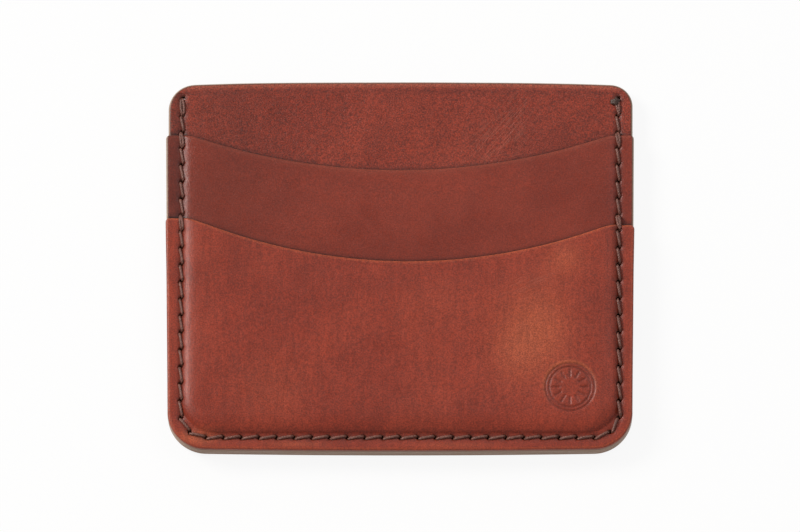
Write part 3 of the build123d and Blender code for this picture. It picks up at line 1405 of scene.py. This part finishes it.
@dataclass
class CardPocket(LeatherPanel):
    """A card pocket, moulded up from its seams and open at a scooped mouth."""

    mouth: float = 0.0
    scoop: float = 8.0
    level: float = 0.0
    rise: float = 0.8
    foot: float = 0.0
    shown_below: float = 100.0
    patches: list[Patch] = field(default_factory=list)
    lean: float = 0.0
    dyed_edge_and_rim_shadow: float = 0.0
    mouth_highlight: float = 0.9
    band: float = 0.0
    waves: Waves = Waves(7, 24.0, 0.06)
    dial: Optional["Dial"] = None
    bend: float = 1.4
    closing: float = 0.42

    def shape(self) -> Array:
        """The pocket's outline."""
        return self.pocket_outline(self.mouth, self.scoop, self.lean)

    def edge_at(self, x: Array) -> Array:
        """Height of the mouth's edge."""
        return mouth_height(x, self.mouth, self.scoop, self.lean)

    def hole_top(self) -> float:
        """The seam's slots stop below the mouth."""
        return self.mouth

    def lift(self, x: Array, y: Array) -> Array:
        """How far the moulding lifts the pocket, less where its mouth closes.

        Args:
            x: places across.
            y: places up.

        Returns:
            The heights above its level at the seam.
        """
        edge = self.edge_at(x)
        middle = smooth(-PATTERN.seam_distance(x, y), 4.0, 16.0)
        closing = self.closing * bump(np.maximum(edge - y, 0.0), 6.5) * middle
        return self.rise * Moulding(self.foot, self.bend).at(x, y) - closing * PATTERN.card_gap

    def top(self, x: Array, y: Array) -> Array:
        """Height of the pocket's upper face.

        Args:
            x: places across.
            y: places up.

        Returns:
            The heights.
        """
        ripple = self.waves.at(x, y) * smooth(-PATTERN.seam_distance(x, y), 1.0, 6.0)
        face = self.level + PATTERN.pocket_leather + self.lift(x, y) + ripple + self.folds(x, y)
        if self.dial is not None:
            face = face - self.dial.depth_at(x, y)
        return face - PRESS.at(x, y)

    def bottom(self, x: Array, y: Array) -> Array:
        """Height of the pocket's lower face."""
        return self.level + self.lift(x, y) + LAYER_CLEARANCE

    def fine(self, x: Array, y: Array) -> Array:
        """Close points along the seam and the dial, and wide ones where another pocket covers.

        Args:
            x: places across.
            y: places up.

        Returns:
            The distances wanted between the mesh's points.
        """
        want = super().fine(x, y)
        if self.dial is not None:
            want = np.where(self.dial.near(x, y), FINE, want)
        return np.where(y < self.shown_below, WIDE, want)

    def wear_and_highlight(self, points: Array) -> Array:
        """Lighter with a painted highlight along the mouth's edge and the dial's upper side, in a lighter
        band below the mouth, and in soft patches where the leather has been flexed.

        Args:
            points: the mesh's points.

        Returns:
            Numbers from 0 to 1.
        """
        x, y = points[:, 0], points[:, 1]
        edge = self.edge_at(x)
        band = self.band * bump(np.maximum(edge - y, 0.0), 1.6)
        # A painted highlight along the mouth's rounded edge.
        total = self.mouth_highlight * bump(edge - y, 0.4) + band
        # Painted highlight on the dial's upper side.
        if self.dial is not None:
            total += self.dial.rim(x, y)
        return np.clip(total + patched(self.patches, x, y), 0.0, 1.0)

    def raw(self, points: Array) -> Array:
        """The mouth's edge is dyed and waxed, the others are bare.

        Args:
            points: the mesh's points.

        Returns:
            Numbers from 0, dyed, to 1, bare.
        """
        x, y = points[:, 0], points[:, 1]
        edge = self.edge_at(x)
        inner = smooth(PATTERN.half_width + PATTERN.overhang - np.abs(x), 0.2, 0.8)
        bare = 1.0 - 0.8 * inner * smooth(y - edge, -1.5, -0.8)
        return bare * (1.0 - self.dyed_edge_and_rim_shadow)

    def shade(self, points: Array) -> Array:
        """Also painted shade in the tooled lines of the dial, and a painted shadow along the lower rim of a
        pocket with a dyed edge.

        Args:
            points: the mesh's points.

        Returns:
            Numbers from 0 to DARKEST.
        """
        dark = super().shade(points)
        if self.dial is not None:
            # Painted shade in the dial's tooled lines.
            dark += self.dial.depth_at(points[:, 0], points[:, 1]) * 1.6
        # Painted shadow along the pocket's lower rim, where it lies on the layer below.
        if self.dyed_edge_and_rim_shadow:
            dark += DARKEST * (points[:, 2] < self.level + 0.35)
        return np.clip(dark, 0.0, DARKEST)


@dataclass(frozen=True)
class Dial:
    """The blind-tooled dial: two rings and plain ticks."""

    x: float
    y: float
    rings: Place = (5.32, 4.52)
    line: float = 0.22
    depth: float = 0.2
    ticks: int = 12
    tick_from: float = 2.3
    tick_to: float = 3.8

    def near(self, x: Array, y: Array) -> Array:
        """Whether each place is on the dial."""
        return np.hypot(x - self.x, y - self.y) < self.rings[0] + 0.7

    def rim(self, x: Array, y: Array) -> Array:
        """How much painted highlight the upper side of the dial's rim gets.

        Args:
            x: places across.
            y: places up.

        Returns:
            Numbers from 0 to 1.
        """
        radius = np.hypot(x - self.x, y - self.y)
        upper = 0.5 + 0.5 * np.clip((y - self.y) / self.rings[0], -1.0, 1.0)
        # Painted highlight, on the dial's upper side only.
        return 0.8 * bump(radius - self.rings[0] - 0.35, 0.35) * upper

    def depth_at(self, x: Array, y: Array) -> Array:
        """How deep the tool has pressed the leather at each place.

        Args:
            x: places across.
            y: places up.

        Returns:
            The depths.
        """
        dx, dy = x - self.x, y - self.y
        radius = np.hypot(dx, dy)
        pressed = np.zeros_like(radius)
        for ring in self.rings:
            pressed = np.maximum(pressed, bump(radius - ring, self.line))
        turn = np.arctan2(dy, dx) * self.ticks / (2.0 * math.pi)
        off = np.abs(turn - np.round(turn)) * 2.0 * math.pi / self.ticks * radius
        reach = np.maximum(np.maximum(self.tick_from - radius, radius - self.tick_to), 0.0)
        pressed = np.maximum(pressed, bump(np.hypot(off, reach), self.line))
        sunk = 0.25 * (1.0 - smooth(radius, self.rings[0] - 0.2, self.rings[0] + 0.6))
        return self.depth * (pressed + sunk)


# ---------------------------------------------------------------- thread


@dataclass
class ThreadMaker:
    """Twisted thread, laid along a route by a Geometry Nodes tree."""

    diameter: float = 0.7
    plies: int = 3
    lay: float = 1.5
    step: float = 0.16
    sides: int = 12
    lobe: float = 0.24
    core: float = 0.78

    def tree(self, material: bpy.types.Material) -> bpy.types.NodeTree:
        """Builds the tree: a twisted, lobed section swept along the route.

        Args:
            material: the thread's finish.

        Returns:
            The tree.
        """
        tree = bpy.data.node_groups.new("twisted_thread", "GeometryNodeTree")
        face = tree.interface
        face.new_socket("Route", in_out="INPUT", socket_type="NodeSocketGeometry")
        for name in ("Radius", "Twist per metre", "Step", "Plies", "Sides"):
            kind = "NodeSocketInt" if name in ("Plies", "Sides") else "NodeSocketFloat"
            face.new_socket(name, in_out="INPUT", socket_type=kind)
        face.new_socket("Thread", in_out="OUTPUT", socket_type="NodeSocketGeometry")
        nodes, link = tree.nodes, tree.links.new
        given = nodes.new("NodeGroupInput").outputs
        resample = nodes.new("GeometryNodeResampleCurve")
        resample.mode = "LENGTH"
        link(given["Route"], resample.inputs["Curve"])
        link(given["Step"], resample.inputs["Length"])
        along = nodes.new("GeometryNodeSplineParameter")
        twist = sum_node(tree, "MULTIPLY", along.outputs["Length"], given["Twist per metre"])
        tilt = nodes.new("GeometryNodeSetCurveTilt")
        link(resample.outputs["Curve"], tilt.inputs["Curve"])
        link(twist, tilt.inputs["Tilt"])
        circle = nodes.new("GeometryNodeCurvePrimitiveCircle")
        link(given["Sides"], circle.inputs["Resolution"])
        link(given["Radius"], circle.inputs["Radius"])
        round_part = nodes.new("GeometryNodeSplineParameter")
        turn = sum_node(tree, "MULTIPLY", round_part.outputs["Factor"], math.pi)
        wave = sum_node(tree, "COSINE", sum_node(tree, "MULTIPLY", turn, given["Plies"]))
        lobes = sum_node(tree, "ABSOLUTE", wave)
        size = sum_node(tree, "ADD", sum_node(tree, "MULTIPLY", lobes, self.lobe), self.core)
        place = nodes.new("GeometryNodeInputPosition")
        scale = nodes.new("ShaderNodeVectorMath")
        scale.operation = "SCALE"
        link(place.outputs[0], scale.inputs[0])
        link(size, scale.inputs["Scale"])
        move = nodes.new("GeometryNodeSetPosition")
        link(circle.outputs["Curve"], move.inputs["Geometry"])
        link(scale.outputs[0], move.inputs["Position"])
        sweep = nodes.new("GeometryNodeCurveToMesh")
        link(tilt.outputs["Curve"], sweep.inputs["Curve"])
        link(move.outputs["Geometry"], sweep.inputs["Profile Curve"])
        sweep.inputs["Fill Caps"].default_value = True
        soft = nodes.new("GeometryNodeSetShadeSmooth")
        link(sweep.outputs["Mesh"], soft.inputs["Geometry"])
        whole = nodes.new("GeometryNodeRealizeInstances")
        link(soft.outputs[0], whole.inputs[0])
        dress = nodes.new("GeometryNodeSetMaterial")
        link(whole.outputs[0], dress.inputs["Geometry"])
        dress.inputs["Material"].default_value = material
        link(dress.outputs[0], nodes.new("NodeGroupOutput").inputs["Thread"])
        return tree

    def lay_out(
        self, name: str, routes: list[list[Vector]], closed: bool, tree: bpy.types.NodeTree
    ) -> bpy.types.Object:
        """Makes thread along smooth lines guided by the given points.

        Args:
            name: the piece's name.
            routes: guide points of each run of thread, in millimetres.
            closed: whether each run is a ring.
            tree: the thread tree.

        Returns:
            The finished mesh object.
        """
        curve = bpy.data.curves.new(name + "_route", "CURVE")
        curve.dimensions = "3D"
        for route in routes:
            spline = curve.splines.new("NURBS")
            spline.points.add(len(route) - 1)
            for point, place in zip(spline.points, route):
                point.co = (*(place * MM), 1.0)
            spline.use_cyclic_u = closed
            spline.order_u = 3
            spline.use_endpoint_u = not closed
            spline.resolution_u = 6
        guide = bpy.data.objects.new(name + "_route", curve)
        bpy.context.scene.collection.objects.link(guide)
        modifier = guide.modifiers.new("thread", "NODES")
        modifier.node_group = tree
        values = {
            "Radius": self.diameter / 2.0 * MM,
            "Twist per metre": 2.0 * math.pi / (self.lay * MM),
            "Step": self.step * MM,
            "Plies": self.plies,
            "Sides": self.sides,
        }
        for item in tree.interface.items_tree:
            if item.in_out == "INPUT" and item.name in values:
                modifier[item.identifier] = values[item.name]
        bpy.context.view_layer.update()
        graph = bpy.context.evaluated_depsgraph_get()
        mesh = bpy.data.meshes.new_from_object(guide.evaluated_get(graph), depsgraph=graph)
        mesh.name = name
        guide.modifiers.clear()
        bpy.data.objects.remove(guide)
        thing = bpy.data.objects.new(name, mesh)
        bpy.context.scene.collection.objects.link(thing)
        return thing


@dataclass
class SaddleSeam:
    """The perimeter seam's thread and its doubled stitches."""

    maker: ThreadMaker
    over: Callable[[float, float], float]
    under: Callable[[float, float], float]
    lead: float = 0.3
    lay_height: float = 0.2
    crown: float = 0.05
    dive: float = 0.55
    shoulder: float = 0.55
    lip: float = 0.1
    lip_height: float = 0.02
    slack: float = 0.12
    room: float = 0.2
    doubled_bow: float = 0.22
    doubled_lead: float = 0.35
    doubled_shift: float = 0.12
    end_offset: tuple[float, float, float] = (-0.5, -0.65, 0.42)
    end_size: tuple[float, float, float] = (1.1, 0.82, 0.42)
    end_turn: float = 25.0

    def hole(self, index: int, end: float, lift: float = 0.0) -> Vector:
        """Where a strand goes through a hole."""
        at, along, out = PATTERN.seam_place(index * PATTERN.pitch)
        return at + (along + out) * (self.lead * end) + out * lift

    def pass_points(self, index: int, on_top: bool, near: Vector, far: Vector, bow: float) -> list[Vector]:
        """Guide points of one stitch, from hole to hole.

        Args:
            index: the stitch's number.
            on_top: whether it lies on the front.
            near: where it leaves the first hole.
            far: where it enters the next.
            bow: how far it bows outwards between them.

        Returns:
            The points.
        """
        face = self.over if on_top else self.under
        way = 1.0 if on_top else -1.0
        step = (far - near).normalized()
        _, _, out = PATTERN.seam_place((index + 0.5) * PATTERN.pitch)
        height = max if on_top else min
        level = height(face(near.x, near.y), face(far.x, far.y))
        lip, shoulder, half_bow = step * self.lip, step * self.shoulder, self.shoulder * bow
        points = []
        for place, lift, shift in (
            (near, -self.dive, 0.0),
            (near + lip, self.lip_height, 0.0),
            (near + shoulder, self.lay_height, half_bow),
            ((near + far) / 2.0, self.lay_height + self.crown, bow),
            (far - shoulder, self.lay_height, half_bow),
            (far - lip, self.lip_height, 0.0),
            (far, -self.dive, 0.0),
        ):
            spot = place + out * shift
            ground = face(spot.x, spot.y)
            base = ground if lift < self.lay_height else height(ground, level - way * self.slack)
            points.append(Vector((spot.x, spot.y, base + way * lift)))
        return points

    def route(self) -> list[Vector]:
        """The whole seam's thread: two needles from the middle of one thread.

        Returns:
            Its guide points, from one end to the other.
        """
        p = PATTERN
        doubled = set(lock_indices())
        halves = []
        for first in (0, 1):
            points: list[Vector] = []
            for index in range(p.stitches):
                on_top = index % 2 == first
                side = 1.0 if on_top else -1.0
                near = self.hole(index, side if index else 0.0)
                far = self.hole(index + 1, -side)
                bow = -self.room if index in doubled else 0.0
                points += self.pass_points(index, on_top, near, far, bow)
            halves.append(points)
        return list(reversed(halves[1])) + halves[0]

    def lock(self, index: int) -> list[Vector]:
        """Guide points of a doubled stitch: a ring beside stitch number index.

        Args:
            index: the stitch's number.

        Returns:
            The points.
        """
        near = self.hole(index, self.doubled_lead, self.doubled_shift)
        far = self.hole(index + 1, -self.doubled_lead, self.doubled_shift)
        front = self.pass_points(index, True, near, far, self.doubled_bow)
        back = self.pass_points(index, False, near, far, self.doubled_bow)
        return front + list(reversed(back))

    def build(self, tree: bpy.types.NodeTree) -> None:
        """Makes and attaches the seam's thread and doubled stitches.

        Args:
            tree: the thread tree.
        """
        made = [(self.maker.lay_out("seam_thread", [self.route()], False, tree), "perimeter_thread")]
        p = PATTERN
        groups = {
            "top_lock_stitches": 0,
            "upper_mouth_lock_stitches": p.upper_mouth_stitches,
            "front_mouth_lock_stitches": p.front_mouth_stitches,
        }
        for node, index in groups.items():
            rings = [self.lock(index), self.lock(p.stitches - 1 - index)]
            made.append((self.maker.lay_out(node.replace("_lock", "_doubled"), rings, True, tree), node))
            if index == 0:
                self.melt_end(made[-1][0])
        for thing, node in made:
            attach(thing, BODY)
            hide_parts(node)
            LOG.info("%s: %d faces", node, len(thing.data.polygons))

    def melt_end(self, thing: bpy.types.Object) -> None:
        """Adds the melted end of the thread beside the last hole.

        Args:
            thing: the piece that the end joins.
        """
        at, _, _ = PATTERN.seam_place(PATTERN.stitches * PATTERN.pitch)
        x, y = at.x + self.end_offset[0], at.y + self.end_offset[1]
        place = Vector((x, y, self.over(x, y) + self.end_offset[2])) * MM
        mesh = bmesh.new()
        mesh.from_mesh(thing.data)
        melt = mesh.verts.layers.float.new("melt")
        turn = Matrix.Rotation(math.radians(self.end_turn), 4, "Z") @ Matrix.Diagonal((*self.end_size, 1.0))
        placing = Matrix.Translation(place) @ turn
        made = bmesh.ops.create_icosphere(mesh, subdivisions=3, radius=MM, matrix=placing)
        for vert in made["verts"]:
            away = (vert.co - place) / MM
            lump = 1.0 + 0.12 * math.sin(5.0 * away.x + 1.0) + 0.1 * math.sin(7.0 * away.y)
            vert.co = place + away * MM * lump
            vert[melt] = 1.0
        for face in mesh.faces:
            face.smooth = True
        mesh.to_mesh(thing.data)
        mesh.free()


def lock_indices() -> list[int]:
    """The numbers of the stitches that are doubled.

    Returns:
        The numbers.
    """
    p = PATTERN
    starts = (0, p.upper_mouth_stitches, p.front_mouth_stitches)
    return [index for start in starts for index in (start, p.stitches - 1 - start)]


# ---------------------------------------------------------------- the studio


@dataclass(frozen=True)
class Lamp:
    """A square soft box that faces the wallet, in metres and watts."""

    name: str
    place: tuple[float, float, float]
    size: float
    power: float
    colour: Colour

    def build(self) -> None:
        """Hangs the lamp."""
        light = bpy.data.lights.new(self.name, "AREA")
        light.color = self.colour
        light.shape = "SQUARE"
        light.size = self.size
        light.energy = self.power
        thing = bpy.data.objects.new(self.name, light)
        thing.location = self.place
        thing.rotation_euler = (-Vector(self.place)).to_track_quat("-Z", "Y").to_euler()
        bpy.context.scene.collection.objects.link(thing)


@dataclass(frozen=True)
class Studio:
    """Pale floor, soft light and the camera, in metres and degrees."""

    elevation: float = 74.3
    distance: float = 2.6
    view_width: float = 0.173913
    sensor: float = 36.0
    aim: tuple[float, float, float] = (0.0, 0.0, 0.004)
    glow: float = 0.9
    floor_half: float = 3.0
    floor_drop: float = 0.00005
    floor_shade: float = 0.9
    world_level: float = 0.42
    lamps: tuple[Lamp, ...] = (
        Lamp("key", (-1.6, 0.8, 1.36), 0.9, 42.0, (1.0, 0.95, 0.9)),
        Lamp("fill", (1.2, 1.4, 2.2), 1.6, 11.0, (0.97, 0.98, 1.0)),
    )

    def floor(self) -> None:
        """Makes the floor, white to the camera, with the wallet's shadow on it."""
        mesh = bpy.data.meshes.new("floor")
        half, level = self.floor_half, -self.floor_drop
        corners = [(-half, -half, level), (half, -half, level), (half, half, level), (-half, half, level)]
        mesh.from_pydata(corners, [], [(0, 1, 2, 3)])
        thing = bpy.data.objects.new("floor", mesh)
        bpy.context.scene.collection.objects.link(thing)
        g = Graph("floor_white")
        diffuse = g.node("ShaderNodeBsdfDiffuse", Color=(*[self.floor_shade] * 3, 1.0))
        glow = g.node("ShaderNodeEmission", Color=(1.0, 1.0, 1.0, 1.0))
        path = g.node("ShaderNodeLightPath")
        seen = g.math("MAXIMUM", path.outputs["Is Camera Ray"], path.outputs["Is Glossy Ray"])
        seen = g.math("MAXIMUM", seen, path.outputs["Is Transmission Ray"])
        both = g.node("ShaderNodeMixShader")
        g.tree.links.new(g.math("MULTIPLY", seen, self.glow), both.inputs[0])
        g.tree.links.new(diffuse.outputs[0], both.inputs[1])
        g.tree.links.new(glow.outputs[0], both.inputs[2])
        g.tree.links.new(both.outputs[0], g.output.inputs["Surface"])
        mesh.materials.append(g.material)

    def light(self) -> None:
        """Sets the lamps and the world."""
        for lamp in self.lamps:
            lamp.build()
        world = bpy.data.worlds.new("studio")
        world.use_nodes = True
        back = world.node_tree.nodes["Background"]
        back.inputs["Color"].default_value = (1.0, 1.0, 1.0, 1.0)
        path = world.node_tree.nodes.new("ShaderNodeLightPath")
        level = world.node_tree.nodes.new("ShaderNodeMapRange")
        level.inputs["To Min"].default_value = self.world_level
        level.inputs["To Max"].default_value = 1.0
        world.node_tree.links.new(path.outputs["Is Camera Ray"], level.inputs["Value"])
        world.node_tree.links.new(level.outputs[0], back.inputs["Strength"])
        bpy.context.scene.world = world

    def camera(self) -> None:
        """Sets the camera, far off with a long lens."""
        data = bpy.data.cameras.new("camera")
        data.sensor_width = self.sensor
        data.lens = self.sensor * self.distance / self.view_width
        data.clip_end = 20.0
        thing = bpy.data.objects.new("camera", data)
        tilt = math.radians(self.elevation)
        aim = Vector(self.aim)
        thing.location = aim + Vector((0.0, -math.cos(tilt), math.sin(tilt))) * self.distance
        thing.rotation_euler = (aim - thing.location).to_track_quat("-Z", "Y").to_euler()
        bpy.context.scene.collection.objects.link(thing)
        bpy.context.scene.camera = thing
        bpy.context.scene.view_settings.view_transform = "Standard"

    def build(self) -> None:
        """Sets up the whole studio."""
        self.floor()
        self.light()
        self.camera()


# ---------------------------------------------------------------- the wallet


@dataclass
class Wallet:
    """The whole wallet, built panel by panel and then sewn."""

    def panels(self) -> list[LeatherPanel]:
        """The four panels, from the surface up.

        Returns:
            The panels, not yet built.
        """
        p = PATTERN
        body = LeatherFinish(
            "body_leather", (0.242, 0.03, 0.012), (0.2, 0.0225, 0.0085), (0.3, 0.064, 0.034),
            mottle=1.0, grain=0.00006, fold_turn=49.0,
        )
        upper = LeatherFinish(
            "pocket_leather", (0.228, 0.0285, 0.012), (0.188, 0.021, 0.008), (0.25, 0.058, 0.032),
            mottle=0.5, rough=0.38, grain=0.00004,
        )
        front = LeatherFinish(
            "front_leather", (0.277, 0.0355, 0.0145), (0.23, 0.0265, 0.0105), (0.4, 0.082, 0.032),
            mottle=0.65, streak=0.1, grain=0.00004, fold_turn=25.0,
        )
        back = LeatherFinish(
            "back_leather", (0.26, 0.036, 0.017), (0.2, 0.026, 0.012), (0.34, 0.06, 0.03), mottle=0.7,
        )
        upper_mouth = (p.upper_mouth, 8.0, 0.0)
        front_mouth = (p.front_mouth, 9.2, 1.6)
        return [
            BackPanel("back_panel", Slot.BODY, back, Face.DOWN),
            BodyPanel(
                "body_panel", Slot.BODY, body, cover=upper_mouth, left_flange_shade=0.22, rests_on="back_panel",
                dark=[Patch(-38.0, 33.0, 13.0, 12.0, 0.22)],
                folded=[Patch(22.0, 30.0, 11.0, 5.0, 1.0, 49.0), Patch(-20.0, 27.0, 3.5, 0.9, 0.8, 49.0)],
            ),
            CardPocket(
                "upper_pocket", Slot.POCKET, upper, mouth=p.upper_mouth, scoop=upper_mouth[1],
                level=p.upper_level, rise=p.card_gap, foot=p.seam_bottom + p.floor_rise + p.foot_gap,
                left_flange_shade=0.3, rests_on="body_panel", mouth_highlight=0.35, shown_below=p.front_mouth - 12.5,
                waves=Waves(7, 24.0, 0.02), cover=front_mouth, band=0.3,
                dark=[Patch(-38.0, 18.0, 14.0, 14.0, 0.24)],
            ),
            CardPocket(
                "front_pocket", Slot.FRONT, front, mouth=p.front_mouth, scoop=front_mouth[1],
                level=p.front_level, rise=2.0 * p.card_gap, foot=p.seam_bottom + p.foot_gap,
                shown_below=-100.0, inset=0.08, lean=front_mouth[2], dyed_edge_and_rim_shadow=0.7, rests_on="upper_pocket",
                patches=[
                    Patch(30.0, -15.0, 8.0, 11.0, 0.65),
                    Patch(9.0, -9.0, 13.0, 7.0, 0.15),
                    Patch(24.0, -21.0, 6.0, 7.0, 0.3),
                    Patch(-28.0, -28.0, 11.0, 10.0, 0.25),
                    Patch(-44.0, -39.0, 5.0, 2.0, 0.8),
                    Patch(-22.0, -40.6, 8.0, 0.8, 0.4),
                    Patch(36.0, 1.0, 4.5, 4.0, 0.45),
                    Patch(12.0, -40.8, 12.0, 0.7, 0.4),
                ],
                dark=[
                    Patch(-38.0, 0.0, 12.0, 8.0, 0.08),
                    Patch(0.0, -35.0, 16.0, 6.0, 0.1),
                    Patch(44.0, -12.0, 5.0, 14.0, 0.08),
                ],
                folded=[Patch(27.5, -4.5, 7.0, 2.2, 0.8, 25.0)],
                creases=[
                    Crease((22.0, -7.5), (34.0, -1.5), 0.5, 0.06),
                    Crease((24.0, -9.0), (31.0, -6.0), 0.4, 0.04),
                ],
                dial=Dial(p.half_width - 13.7, p.bottom + 13.9), waves=Waves(9, 24.0, 0.04),
            ),
        ]

    def build(self) -> None:
        """Builds every piece."""
        flesh = FleshFinish().material()
        thread = ThreadFinish().material()
        back, body, upper, front = self.panels()
        for panel in (back, body, upper, front):
            panel.build(flesh)

        def over(x: float, y: float) -> float:
            """Height of the leather's upper face at a place on the seam.

            Args:
                x: the place across.
                y: the place up.

            Returns:
                The height.
            """
            here = np.array([x])
            panel = body if y > upper.edge_at(here)[0] else upper if y > front.edge_at(here)[0] else front
            return float(panel.top(here, np.array([y]))[0])

        def under(x: float, y: float) -> float:
            """Height of the leather's lower face at a place on the seam."""
            return float(back.bottom(np.array([x]), np.array([y]))[0])

        maker = ThreadMaker()
        tree = maker.tree(thread)
        SaddleSeam(maker, over, under).build(tree)
        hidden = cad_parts["floor_thread"]
        hidden.data.materials.clear()
        hidden.data.materials.append(thread)
        LOG.info("floor_thread: kept, in the thread's finish")


def main() -> None:
    """Builds the studio and the wallet; each panel logs its cut size and face count."""
    logging.basicConfig(level=logging.INFO)
    Studio().build()
    Wallet().build()
    bpy.context.view_layer.update()


if __name__ == "__main__":
    main()
